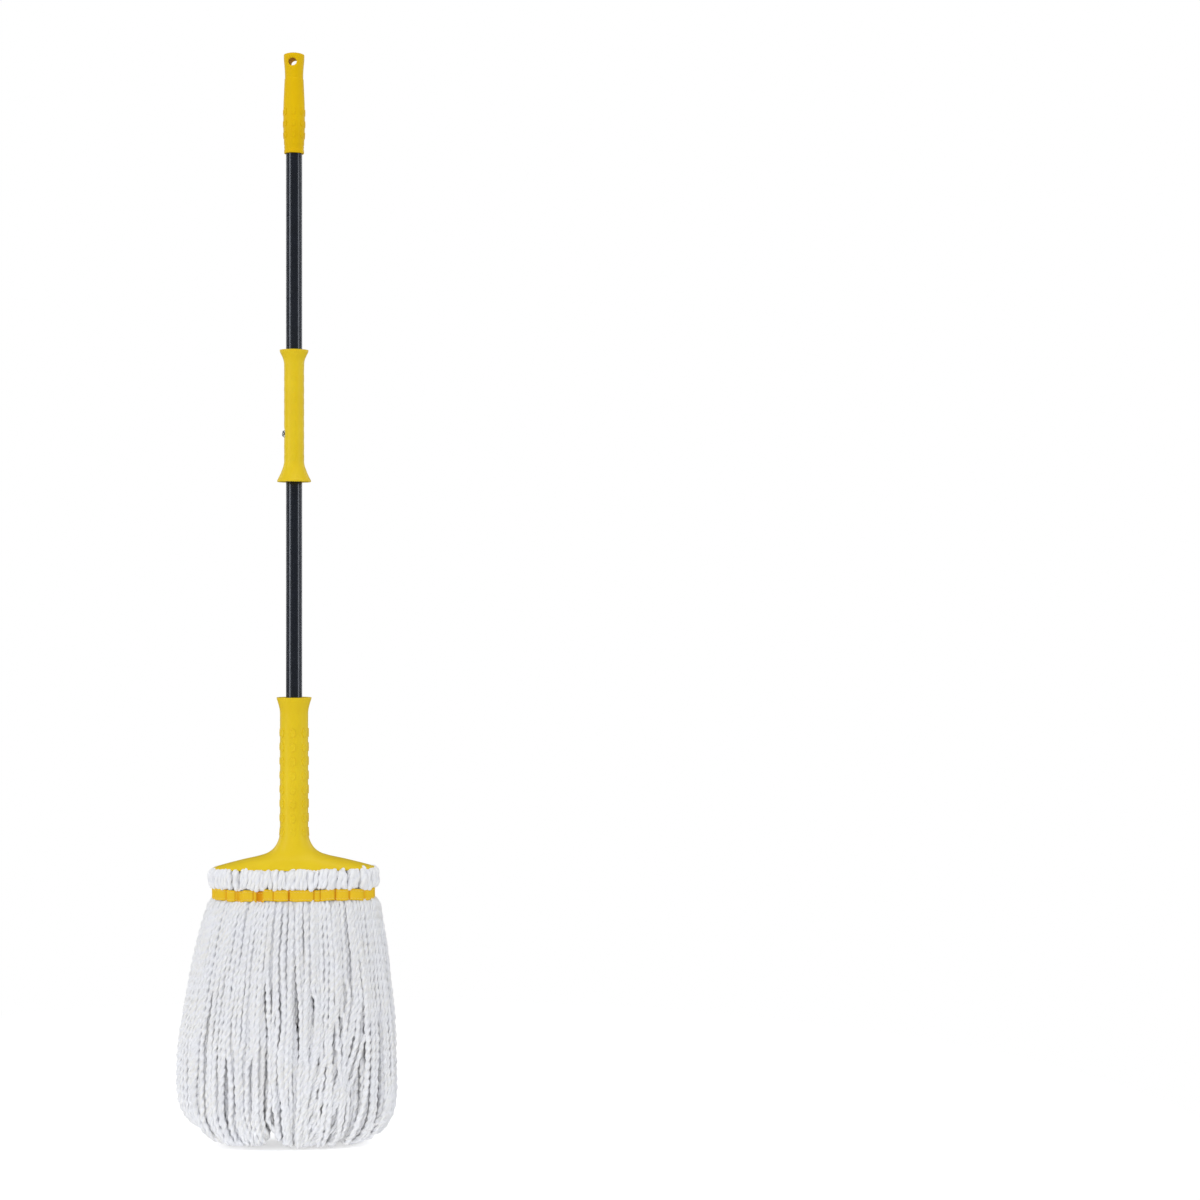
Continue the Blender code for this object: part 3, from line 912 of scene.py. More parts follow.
@dataclass
class OvalPads:
    """Raised ovals in rows round a grip, each with a shallow dish in its top."""

    columns: int
    rows: Sequence[float]
    reach: Callable[[float], float]     # the grip's radius at a height
    half: tuple[float, float]
    proud: float
    turn: float = 0.0                   # of the column nearest the front

    def one(self) -> bpy.types.Object:
        """Return a pad that lies flat, one metre in radius and one in height."""
        deselect_all()
        bpy.ops.mesh.primitive_circle_add(vertices=32, radius=1.0, fill_type="NGON")
        pad = bpy.context.active_object
        pad.data.transform(Matrix.Translation((0, 0, -0.5)))
        bpy.ops.object.mode_set(mode="EDIT")
        bpy.ops.mesh.select_all(action="SELECT")
        for rise, scale in ((1.22, 0.98), (0.20, 0.93), (0.06, 0.76), (-0.26, 0.84), (-0.05, 0.60)):
            bpy.ops.mesh.extrude_region_move(TRANSFORM_OT_translate={"value": (0, 0, rise)})
            bpy.ops.transform.resize(value=(scale, scale, 1), center_override=(0, 0, 0))
        bpy.ops.object.mode_set(mode="OBJECT")
        return pad

    def join_to(self, grip: bpy.types.Object) -> None:
        """Wrap a copy of the pad round the grip at every place, and join them to it.

        Args:
            grip: The grip's skin.
        """
        pad = self.one()
        flat, copies = points_of(pad), []
        for row in self.rows:
            reach = self.reach(row)
            for column in range(self.columns):
                angle = math.tau * column / self.columns - math.pi / 2 + self.turn
                copy = pad.copy()
                copy.data = pad.data.copy()
                bpy.context.scene.collection.objects.link(copy)
                around = angle + flat[:, 0] * self.half[0] / reach
                level = row + flat[:, 1] * self.half[1]
                out = np.array([self.reach(z) for z in level]) + flat[:, 2] * self.proud
                copy.data.vertices.foreach_set("co", np.column_stack(
                    [out * np.cos(around), out * np.sin(around), level]).ravel())
                copies.append(copy)
        bpy.data.objects.remove(pad, do_unlink=True)
        make_active(grip)
        for copy in copies:
            copy.select_set(True)
        bpy.ops.object.join()
        bpy.ops.object.mode_set(mode="EDIT")
        bpy.ops.mesh.select_all(action="SELECT")
        bpy.ops.mesh.normals_make_consistent(inside=False)
        bpy.ops.object.mode_set(mode="OBJECT")
        bpy.ops.object.shade_smooth_by_angle(angle=math.radians(50))


def reach_of(outline: Array) -> Callable[[float], float]:
    """Return a function that gives an outline's outer radius at a height.

    Args:
        outline: Rows of reach and height, down the outer side first.
    """
    outer = outline[:int(np.argmin(outline[:, 1])) + 1][::-1]
    return lambda height: float(np.interp(height, outer[:, 1], outer[:, 0]))


# --------------------------------------------------------------------------- the pole


@dataclass
class Pole:
    """The two tubes with their grip, joint sleeve, snap button, stop collar and yarn anchor."""

    dresser: Dresser
    tube_radius: float = 11 * MM
    tube_wall: float = 0.5 * MM
    sleeve_radius: float = 13.5 * MM
    button_height: float = 0.972
    button_radius: float = 4.8 * MM
    hole_height: float = 1.4805
    hole_half: tuple[float, float] = (5.8 * MM, 5.4 * MM)
    hole_turn: float = math.radians(-8)
    grip_grooves: tuple[float, ...] = (1.3668, 1.3639, 1.3611)
    grip_ovals: tuple[float, ...] = (1.4124, 1.3966, 1.3810)

    def build(self) -> None:
        """Build every piece of the pole."""
        self.tubes()
        self.top_grip()
        self.joint_sleeve()
        self.snap_button()
        self.stop_collar()
        self.anchor()
        for node in ("button_spring", "stop_pin", "anchor_washer", "anchor_screw"):
            self.dresser.repaint(node, Slot.ZINC)

    def tubes(self) -> None:
        """Build both tubes, with rolled ends, and the button's hole in the lower one."""
        for node in ("upper_tube", "lower_tube"):
            low, high = (corner.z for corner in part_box(node))
            outer, inner = self.tube_radius, self.tube_radius - self.tube_wall
            edge = self.tube_wall * 0.4
            outline = rounded_outline([Corner(outer, high, edge), Corner(outer, low, edge),
                                       Corner(inner, low, edge), Corner(inner, high, edge)], True, 3)
            tube = Skin(f"{node}_skin", outline, 72).build()
            if node == "lower_tube":
                cut_hole(tube, rod(self.button_radius + 0.3 * MM, 0.012,
                                   (-0.0125, 0, self.button_height), (1, 0, 0)))
            self.dresser.ride(tube, Slot.COAT, Body.POLE, [node])

    def top_grip(self) -> None:
        """Build the grip: waisted, with ovals, ring grooves at its foot and an oval hanging hole."""
        low, high = (corner.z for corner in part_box("top_grip"))
        bore, seat = self.tube_radius + 0.3 * MM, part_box("upper_tube")[1].z + 0.3 * MM
        outer = [Corner(0.0012, high), Corner(0.0090, high - 0.0006, 0.003),
                 Corner(0.0141, high - 0.0024, 0.0014), Corner(0.0139, high - 0.0100, 0.005),
                 Corner(0.0126, high - 0.0235, 0.006), Corner(0.0123, high - 0.0352, 0.002),
                 Corner(0.0129, high - 0.0362, 0.0005), Corner(0.0138, high - 0.0560, 0.010),
                 Corner(0.0145, high - 0.0700, 0.010), Corner(0.0147, high - 0.1050, 0.010),
                 Corner(0.0138, high - 0.1200, 0.006), Corner(0.0136, low, 0.0008)]
        inner = [Corner(bore, low, 0.0005), Corner(bore, seat, 0.001), Corner(0.0012, seat)]
        outline = fine_between(rounded_outline(outer + inner, False), low, high, 0.7 * MM)

        def relief(angle: Array, height: Array) -> Array:
            """Press in the ring grooves and round the hole's lip."""
            grooves = sum(np.exp(-((height - level) / (0.8 * MM)) ** 2)
                          for level in self.grip_grooves)
            turn = angle + math.pi / 2 - self.hole_turn
            turn = (turn + math.pi / 2) % math.pi - math.pi / 2
            away = np.hypot(turn * 0.0137 / self.hole_half[0],
                            (height - self.hole_height) / self.hole_half[1])
            lip = np.clip((1.45 - away) / 0.45, 0, 1)
            return -0.7 * MM * grooves - 1.3 * MM * lip ** 2

        grip = Skin("top_grip_skin", outline, 144, closed=False, relief=relief).build()
        axis = (-math.sin(self.hole_turn), math.cos(self.hole_turn), 0)
        cut_hole(grip, rod(self.hole_half[0], 0.05, (0, 0, self.hole_height), axis,
                           self.hole_half[1] / self.hole_half[0], 56))
        pads = OvalPads(7, self.grip_ovals, reach_of(outline), (3.0 * MM, 4.8 * MM), 0.8 * MM)
        pads.join_to(grip)
        self.dresser.ride(grip, Slot.PLASTIC, Body.POLE, ["top_grip"], self.dresser.finishes.deep_plastic)

    def joint_sleeve(self) -> None:
        """Build the sleeve that joins the tubes: flared ends, faint ovals, the button's hole."""
        low, high = (corner.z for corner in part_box("joint_sleeve"))
        radius, bore = self.sleeve_radius, self.tube_radius + 0.3 * MM
        stop_low, stop_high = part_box("lower_tube")[1].z + 0.3 * MM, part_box("upper_tube")[0].z - 0.3 * MM
        outer = [Corner(0.0200, high, 0.0012), Corner(0.0190, high - 0.0035, 0.001),
                 Corner(0.0148, high - 0.0120, 0.004), Corner(radius, high - 0.0190, 0.006),
                 Corner(radius, low + 0.0270, 0.006), Corner(0.0150, low + 0.0200, 0.005),
                 Corner(0.0190, low + 0.0100, 0.006), Corner(0.0226, low + 0.0030, 0.0006),
                 Corner(0.0230, low + 0.0024, 0.0005), Corner(0.0230, low, 0.0008)]
        inner = [Corner(0.0208, low, 0.0008), Corner(0.0165, low + 0.0110, 0.004),
                 Corner(bore, low + 0.0240, 0.004), Corner(bore, stop_low), Corner(0.0095, stop_low),
                 Corner(0.0095, stop_high), Corner(bore, stop_high), Corner(bore, high - 0.0170, 0.004),
                 Corner(0.0178, high, 0.0008)]
        outline = fine_between(rounded_outline(outer + inner, True), low + 0.02, high - 0.012, 0.9 * MM)
        button = self.button_height

        def dish(angle: Array, height: Array) -> Array:
            """Press a shallow dish round the button."""
            turn = np.abs((angle % math.tau) - math.pi)
            away = np.hypot(turn * radius, height - button)
            share = np.clip((7.6 * MM - away) / (2.0 * MM), 0, 1)
            return -0.6 * MM * share * share * (3 - 2 * share)

        sleeve = Skin("joint_sleeve_skin", outline, 120, relief=dish).build()
        cut_hole(sleeve, rod(self.button_radius + 0.3 * MM, 0.012, (-0.0125, 0, button), (1, 0, 0)))
        rows = np.arange(low + 0.0330, high - 0.020, 15.6 * MM)
        OvalPads(7, rows, reach_of(outline), (2.9 * MM, 4.8 * MM), 0.22 * MM).join_to(sleeve)
        self.dresser.ride(sleeve, Slot.PLASTIC, Body.POLE, ["joint_sleeve"])

    def snap_button(self) -> None:
        """Build the button: a polished dome on a pin with a flange inside the tube."""
        tip = -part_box("snap_button")[0].x
        outline = rounded_outline(
            [Corner(0.0003, tip), Corner(0.0028, tip - 0.0003, 0.0015), Corner(0.0044, tip - 0.0018, 0.0012),
             Corner(0.0048, tip - 0.0034, 0.0008), Corner(0.0048, 0.0078, 0.0002),
             Corner(0.0057, 0.0078, 0.0002), Corner(0.0057, 0.0065, 0.0002), Corner(0.0003, 0.0065)],
            False, 6)
        button = Skin("snap_button_dome", outline, 64, closed=False).build()
        turn = Matrix.Rotation(-math.pi / 2, 4, "Y")
        button.data.transform(Matrix.Translation((0, 0, self.button_height)) @ turn)
        self.dresser.ride(button, Slot.CHROME, Body.BUTTON, ["snap_button"])

    def stop_collar(self) -> None:
        """Build the collar that the sleeve's lower bush rests on."""
        low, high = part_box("stop_collar")
        bore = self.tube_radius + 0.3 * MM
        outline = rounded_outline([Corner(high.x, high.z, 0.001), Corner(high.x, low.z, 0.001),
                                   Corner(bore, low.z, 0.0004), Corner(bore, high.z, 0.0004)], True)
        collar = Skin("stop_collar_ring", outline, 64).build()
        cut_hole(collar, rod(1.8 * MM, 0.04, (0, 0, (low.z + high.z) / 2), (0, 1, 0), sides=24))
        self.dresser.ride(collar, Slot.GREY, Body.POLE, ["stop_collar"])

    def anchor(self) -> None:
        """Build the hub in the tube's lower end and the cap that clamps the yarn to it."""
        low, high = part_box("anchor_hub")
        plug = self.tube_radius - self.tube_wall - 0.3 * MM
        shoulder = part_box("lower_tube")[0].z - 0.3 * MM
        outline = rounded_outline(
            [Corner(0.0012, high.z), Corner(plug, high.z, 0.0012), Corner(plug, shoulder),
             Corner(high.x, shoulder, 0.0015), Corner(high.x, low.z, 0.0015), Corner(0.0020, low.z),
             Corner(0.0020, high.z - 0.008), Corner(0.0012, high.z - 0.008)], False)
        hub = Skin("anchor_hub_body", outline, 64, closed=False).build()
        self.dresser.ride(hub, Slot.GREY, Body.POLE, ["anchor_hub"])
        low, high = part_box("anchor_cap")
        outline = rounded_outline(
            [Corner(high.x, high.z, 0.001), Corner(high.x, low.z + 0.003, 0.002),
             Corner(0.017, low.z, 0.002), Corner(0.0024, low.z), Corner(0.0024, high.z)], True)
        cap = Skin("anchor_cap_body", outline, 64).build()
        self.dresser.ride(cap, Slot.GREY, Body.POLE, ["anchor_cap"])


# --------------------------------------------------------------------------- the wringer


@dataclass
class Wringer:
    """The sliding sleeve with its head plate, and the two bushes that it turns on."""

    dresser: Dresser
    radius: float = 19.2 * MM
    wall: float = 2.2 * MM
    plate_half: tuple[float, float] = (109.5 * MM, 35.0 * MM)
    plate_power: float = 2.6
    plate_level: float = 0.381
    rim: tuple[float, float, float] = (0.3762, 0.3785, 0.3790)  # heights of its foot, edge and crown
    oval_top: float = 0.5625
    oval_pitch: float = 19.4 * MM
    bush_radius: float = 16.7 * MM
    lower_flare: tuple[float, float] = (0.4195, 0.4140)  # heights where the lower bush widens

    # The plate's shoulder: height over the plate's level, and half width.
    slope = ((0.0460, 0.0192), (0.0365, 0.0204), (0.0278, 0.0243), (0.0217, 0.0290),
             (0.0163, 0.0370), (0.0124, 0.0500), (0.0082, 0.0700), (0.0026, 0.0920))

    def build(self) -> None:
        """Build the sleeve and its bushes, and dress what is under the plate."""
        self.sleeve()
        self.bushes()
        self.dresser.repaint("clamp_plate", Slot.GREY)
        for number in range(1, 5):
            self.dresser.repaint(f"plate_screw_{number}", Slot.ZINC)

    def section(self, reach: Array) -> tuple[Array, Array]:
        """Depth and squareness of the sleeve where it is this wide.

        Args:
            reach: Half widths seen from the front.

        Returns:
            Half depths, and the superellipse's powers.
        """
        share = np.clip((reach - self.radius) / (self.plate_half[0] - self.radius), 0, 1)
        flared = self.radius + np.sqrt(share) * (self.plate_half[1] - self.radius)
        wide = reach > 25 * MM
        near_plate = np.where(wide, flared, np.minimum(flared, reach * 1.06 + 0.4 * MM))
        return near_plate, 2.0 + share * (self.plate_power - 2.0)

    def shoulder(self, amount: float) -> list[Corner]:
        """Corners from the grip down to the plate's edge.

        Args:
            amount: How far inside the outer skin they lie.

        Returns:
            The corners, top to bottom.
        """
        corners = []
        for rise, reach in self.slope:
            inwards = amount * min(1.0, 0.02025 / reach)
            downwards = amount * 0.9 * min(1.0, max(0.0, (reach - self.slope[1][1]) / 0.012))
            corners.append(Corner(reach - inwards, self.plate_level + rise - downwards, 0.006))
        return corners

    def sleeve(self) -> None:
        """Build the sleeve: flared top, ovals in eight rows, and a fan-shaped plate with a lip."""
        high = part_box("wringer_sleeve")[1].z
        low, edge, crown = self.rim
        r, w, half = self.radius, self.wall, self.plate_half[0]
        outer = [Corner(0.0240, high, 0.0012), Corner(0.0236, high - 0.0020, 0.001),
                 Corner(0.0224, high - 0.0058, 0.003), Corner(0.0203, high - 0.0128, 0.004),
                 Corner(r, high - 0.0190, 0.006)]
        outer += self.shoulder(0.0)
        outer += [Corner(half - 0.0010, crown, 0.0006), Corner(half, edge, 0.0004),
                  Corner(half, low, 0.0006)]
        inner = [Corner(half - w, low, 0.0005), Corner(half - w - 0.0006, low + 0.0010, 0.0006)]
        inner += self.shoulder(w)[::-1]
        inner += [Corner(r - w, high - 0.0205, 0.006), Corner(0.0240 - w, high, 0.0010)]
        outline = fine_between(rounded_outline(outer + inner, True, 6), low,
                               self.plate_level + 34.5 * MM, 1.2 * MM)
        sleeve = Skin("wringer_sleeve_skin", outline, 168, section=self.section).build()
        rows = [self.oval_top - self.oval_pitch * row for row in range(8)]
        OvalPads(7, rows, reach_of(outline), (4.1 * MM, 6.2 * MM), 1.05 * MM,
                 math.radians(-2.3)).join_to(sleeve)
        self.dresser.ride(sleeve, Slot.PLASTIC, Body.HEAD, ["wringer_sleeve"])

    def bushes(self) -> None:
        """Build the bushes, with a flange at the sleeve's top and another in its neck."""
        bore, radius = 11.3 * MM, self.bush_radius
        low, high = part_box("upper_bush")
        upper = [Corner(high.x, high.z, 0.001), Corner(radius, high.z - 0.0105, 0.002),
                 Corner(radius, low.z, 0.0006), Corner(bore, low.z, 0.0004), Corner(bore, high.z, 0.0006)]
        low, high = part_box("lower_bush")
        start, end = self.lower_flare
        lower = [Corner(radius, high.z, 0.0006), Corner(radius, start, 0.002),
                 Corner(high.x, end, 0.001), Corner(high.x, low.z, 0.0006),
                 Corner(bore, low.z, 0.0004), Corner(bore, high.z, 0.0004)]
        for node, corners in (("upper_bush", upper), ("lower_bush", lower)):
            bush = Skin(f"{node}_ring", rounded_outline(corners, True), 72).build()
            self.dresser.ride(bush, Slot.GREY, Body.SLIDER, [node])


# --------------------------------------------------------------------------- the yarn head


class Rim:
    """An oblong line round the head, measured by the distance along it from the front's middle."""

    def __init__(self, half_width: float, half_depth: float, power: float = 2.6) -> None:
        """Measure the oblong.

        Args:
            half_width: Reach along X.
            half_depth: Reach along Y.
            power: The superellipse's power.
        """
        self.angle = np.linspace(-math.pi / 2, 1.5 * math.pi, 4001)
        self.x, self.y = superellipse(self.angle, half_width, half_depth, power)
        steps = np.hypot(np.diff(self.x), np.diff(self.y))
        self.along = np.concatenate([[0.0], np.cumsum(steps)])
        self.length = float(self.along[-1])

    def locate(self, angle: Array) -> Array:
        """Return the distances along the rim of directions round it."""
        wrapped = (np.asarray(angle) + math.pi / 2) % math.tau - math.pi / 2
        return np.interp(wrapped, self.angle, self.along)

    def at(self, distance: Array) -> Array:
        """Return the points at distances along the rim, as rows of x, y."""
        wrapped = np.asarray(distance) % self.length
        return np.stack([np.interp(wrapped, self.along, self.x), np.interp(wrapped, self.along, self.y)], -1)

    def outward(self, distance: Array) -> Array:
        """Return the outward directions at distances along the rim, as rows of x, y."""
        ahead = self.at(np.asarray(distance) + 1e-3) - self.at(np.asarray(distance) - 1e-3)
        ahead /= np.linalg.norm(ahead, axis=-1, keepdims=True)
        return np.stack([ahead[..., 1], -ahead[..., 0]], -1)


@dataclass
class Tape:
    """The stitched tape round the head, drawn into folds where the yarn is gathered."""

    dresser: Dresser
    half: tuple[float, float] = (109.5 * MM, 36.8 * MM)
    thickness: float = 0.9 * MM
    columns: int = 900
    rows: int = 9

    puff_depth: float = 2.0   # mm, of the cloth between two pinches that are far enough apart
    puff_width: float = 22.0  # mm, how far apart that is

    # Folds as distance along the rim from the front's middle, half width and depth, in mm.
    # A pocket is a wide fold with a flat floor, and a pinch is a narrow crease.
    pockets = ((-44.5, 5.0, 3.4), (-71.5, 4.4, 2.2))
    pinches = ((-92.0, 2.2, 1.5), (-78.0, 1.6, 1.3), (-53.0, 1.6, 1.2), (-26.0, 1.2, 1.2),
               (-5.0, 1.4, 2.4), (29.0, 1.3, 1.7), (37.5, 1.1, 1.3), (58.0, 1.5, 2.1),
               (77.0, 1.2, 1.5), (99.0, 1.4, 1.1))

    def __post_init__(self) -> None:
        """Measure the rim, and set out the pinches that face the sides and the back."""
        self.rim = Rim(*self.half)
        low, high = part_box("header_tape")
        self.low, self.high = low.z, high.z
        rng = np.random.default_rng(21)
        self.turn = self.rim.length / MM
        far = tuple((place + rng.uniform(-5, 5), rng.uniform(0.6, 1.1), rng.uniform(0.7, 2.0))
                    for place in np.arange(118.0, self.turn - 112.0, 17.0))
        self.all_pinches = self.pinches + far
        seams = np.sort(np.array([pinch[0] for pinch in self.all_pinches]) % self.turn)
        self.seams = np.concatenate([[seams[-1] - self.turn], seams, [seams[0] + self.turn]])

    def puff(self, place: Array) -> Array:
        """Return how far the cloth bulges between two pinches, in mm, at places in mm."""
        wrapped = place % self.turn
        after = np.searchsorted(self.seams, wrapped, side="right").clip(1, len(self.seams) - 1)
        wide = self.seams[after] - self.seams[after - 1]
        share = np.clip((wrapped - self.seams[after - 1]) / wide, 0, 1)
        full = np.clip(wide / self.puff_width, 0.35, 1)
        return self.puff_depth * np.sin(math.pi * share) ** 0.7 * full

    def sunk(self, distance: Array) -> tuple[Array, Array]:
        """How far the tape sinks in, and how far it drops, along the rim.

        Args:
            distance: Distances along the rim, in metres.

        Returns:
            Depths and drops, in metres.
        """
        place = np.asarray(distance) / MM

        def off(middle: float) -> Array:
            """Return the distance from a fold, the short way round."""
            return (place - middle + self.turn / 2) % self.turn - self.turn / 2

        depth, drop = np.zeros_like(place), 0.6 * np.sin(place / 13.0) + 0.45 * np.sin(place / 5.1 + 1)
        for middle, half_width, amount in self.pockets:
            inside = 1 / (1 + np.exp((np.abs(off(middle)) - half_width) * 2.4))
            depth, drop = depth + amount * inside, drop + 0.75 * amount * inside
        for middle, half_width, amount in self.all_pinches:
            depth = depth + amount * np.exp(-(off(middle) / half_width) ** 2)
        depth = depth - self.puff(place) - 0.35 * np.sin(place / 3.3 + 2) ** 2
        return depth * MM, drop * MM

    def surface(self, distance: Array, height: Array) -> Array:
        """Points on the tape's outer face.

        Args:
            distance: Distances along the rim.
            height: Heights before the tape drops.

        Returns:
            Rows of x, y, z.
        """
        depth, drop = self.sunk(distance)
        flat = self.rim.at(distance) - self.rim.outward(distance) * depth[..., None]
        return np.concatenate([flat, (height - drop)[..., None]], -1)

    def build(self) -> None:
        """Build the band and its stitches."""
        deselect_all()
        bpy.ops.mesh.primitive_grid_add(x_subdivisions=self.columns, y_subdivisions=self.rows, size=1.0)
        band = bpy.context.active_object
        band.name = band.data.name = "header_tape_band"
        points = points_of(band)
        share, across = points[:, 0] + 0.5, points[:, 1] + 0.5
        placed = self.surface(share * self.rim.length, self.low + across * (self.high - self.low))
        band.data.vertices.foreach_set("co", placed.ravel())
        layer = band.data.uv_layers[0]
        layer.name = "tape"
        uv = np.empty(len(layer.data) * 2)
        layer.data.foreach_get("uv", uv)
        uv = uv.reshape(-1, 2) * (self.rim.length, self.high - self.low)
        layer.data.foreach_set("uv", uv.ravel())
        # Painted shade: how deep the tape sinks at each point, for darkening its folds' colour.
        fold_shade = band.data.attributes.new("fold_shade", "FLOAT", "POINT")
        fold_shade.data.foreach_set("value", np.clip(self.sunk(share * self.rim.length)[0] / (2 * MM), 0, 1))
        make_active(band)
        bpy.ops.object.mode_set(mode="EDIT")
        bpy.ops.mesh.select_all(action="SELECT")
        bpy.ops.mesh.remove_doubles(threshold=0.02 * MM)
        bpy.ops.mesh.normals_make_consistent(inside=False)
        bpy.ops.object.mode_set(mode="OBJECT")
        wall = band.modifiers.new("cloth", "SOLIDIFY")
        wall.thickness, wall.offset = self.thickness, -1.0
        bpy.ops.object.modifier_apply(modifier=wall.name)
        bpy.ops.object.shade_smooth()
        self.dresser.ride(band, Slot.TAPE, Body.HEAD, ["header_tape"])
        stitches = self.stitches()

    def stitches(self) -> bpy.types.Object:
        """Sew two rows of stitches along the tape.

        Returns:
            The stitches, as one piece.
        """
        pitch, length, lift = 4.1 * MM, 2.7 * MM, 0.12 * MM
        count = int(self.rim.length / pitch)
        start = np.arange(count) * self.rim.length / count
        share = np.array([0.0, 0.15, 0.5, 0.85, 1.0])
        rise = np.array([-0.35, 0.35, 1.0, 0.35, -0.35]) * lift * 2
        paths = []
        for row, height in enumerate((self.low + 2.7 * MM, self.high - 2.7 * MM)):
            distance = start[:, None] + share[None, :] * length + row * pitch / 2
            level = np.full_like(distance, height)
            points = self.surface(distance, level)
            points[..., :2] += self.rim.outward(distance) * (rise + 0.1 * MM)[None, :, None]
            paths.append(points)
        sweep = StrandSweep("tape_stitches", 0.36 * MM, sides=6, lobes=0.05, step=0.55 * MM, seed=5)
        obj = sweep.build(np.concatenate(paths))
        return self.dresser.ride(obj, Slot.TAPE, Body.HEAD, material=self.dresser.finishes.thread)


@dataclass
class Header:
    """The row of short loops above the tape, with a packed layer behind them."""

    dresser: Dresser
    tape: Tape
    half: tuple[float, float] = (112.0 * MM, 38.0 * MM)
    spacing: float = 5.9 * MM
    radius: float = 4.4 * MM

    def loops(self, inset: float, seed: int, phase: float) -> tuple[Array, Array]:
        """Set out one layer of loops.

        Args:
            inset: How far inside the rim the layer stands.
            seed: Seed of its small differences.
            phase: Share of the spacing it is shifted by.

        Returns:
            Paths by control point by x, y, z, and each path's thickness.
        """
        rng = np.random.default_rng(seed)
        rim = Rim(self.half[0] - inset, self.half[1] - inset)
        count = int(rim.length / self.spacing)
        low, high = (corner.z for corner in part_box("yarn_header"))
        foot = (np.arange(count) + phase) * rim.length / count + rng.normal(0, 1.4 * MM, count)
        lean = 2.6 * MM * np.sin(foot / (37 * MM)) + rng.normal(0, 2.6 * MM, count)
        lowered = self.tape.sunk(foot / rim.length * self.tape.rim.length)[1]
        foot_drop = rng.uniform(-1.0, 1.8, count) * MM + np.maximum(lowered, 0)
        top_rise = rng.uniform(-0.8, 1.8, count) * MM + 2.2 * MM * (rng.uniform(0, 1, count) > 0.9)
        bulge = rng.uniform(-0.8, 1.0, count) * MM
        levels = [(-7.0, 0.0, low + 4.5 * MM - foot_drop * 0.3), (-3.0, 0.0, low + 2.9 * MM - foot_drop),
                  (-0.4, 0.05, low + 4.2 * MM - foot_drop), (0.8, 0.30, low + 8.5 * MM),
                  (0.9, 0.60, high - 9.5 * MM), (0.2, 0.85, high - 5.6 * MM + top_rise),
                  (-2.6, 1.0, high - 3.7 * MM + top_rise), (-6.5, 1.05, high - 4.6 * MM),
                  (-12.0, 1.05, high - 6.0 * MM)]
        points = []
        for out, share, height in levels:
            distance = foot + lean * share
            flat = rim.at(distance) + rim.outward(distance) * (out * MM + bulge * (out > 0))[:, None]
            points.append(np.column_stack([flat, np.broadcast_to(height, count)]))
        return np.stack(points, 1), rng.uniform(0.78, 1.2, count)

    def build(self) -> None:
        """Build both layers as one piece."""
        front, front_thickness = self.loops(0.0, 31, 0.0)
        back, back_thickness = self.loops(4.6 * MM, 32, 0.5)
        controls = np.concatenate([front, back])
        thickness = np.concatenate([front_thickness, back_thickness * 1.05])
        sweep = StrandSweep("yarn_header_loops", self.radius, sides=12, lobes=0.15, pitch=30 * MM,
                            step=2.1 * MM, seed=33)
        self.dresser.ride(sweep.build(controls, thickness), Slot.YARN, Body.HEAD, ["yarn_header"])


@dataclass(frozen=True)
class Layer:
    """One layer of hanging strands."""

    name: str
    count: int
    depth: float                    # how far inside the outermost layer it hangs
    sides: int
    step: float
    wave: float                     # how far strands stray to the side
    seed: int


@dataclass(frozen=True)
class Parting:
    """A thin gap between strands of the front: where it starts and ends, and how far it opens."""

    top: tuple[float, float]
    bottom: tuple[float, float]
    opening: float

    def push(self, x: Array, height: Array) -> Array:
        """Return how far strands move aside at each place."""
        share = (self.top[1] - height) / (self.top[1] - self.bottom[1])
        middle = self.top[0] + (self.bottom[0] - self.top[0]) * share
        window = np.clip(4 * share * (1 - share), 0, 1) ** 0.7
        off = x - middle
        return self.opening * np.sign(off) * np.exp(-np.abs(off) / (9 * MM)) * window


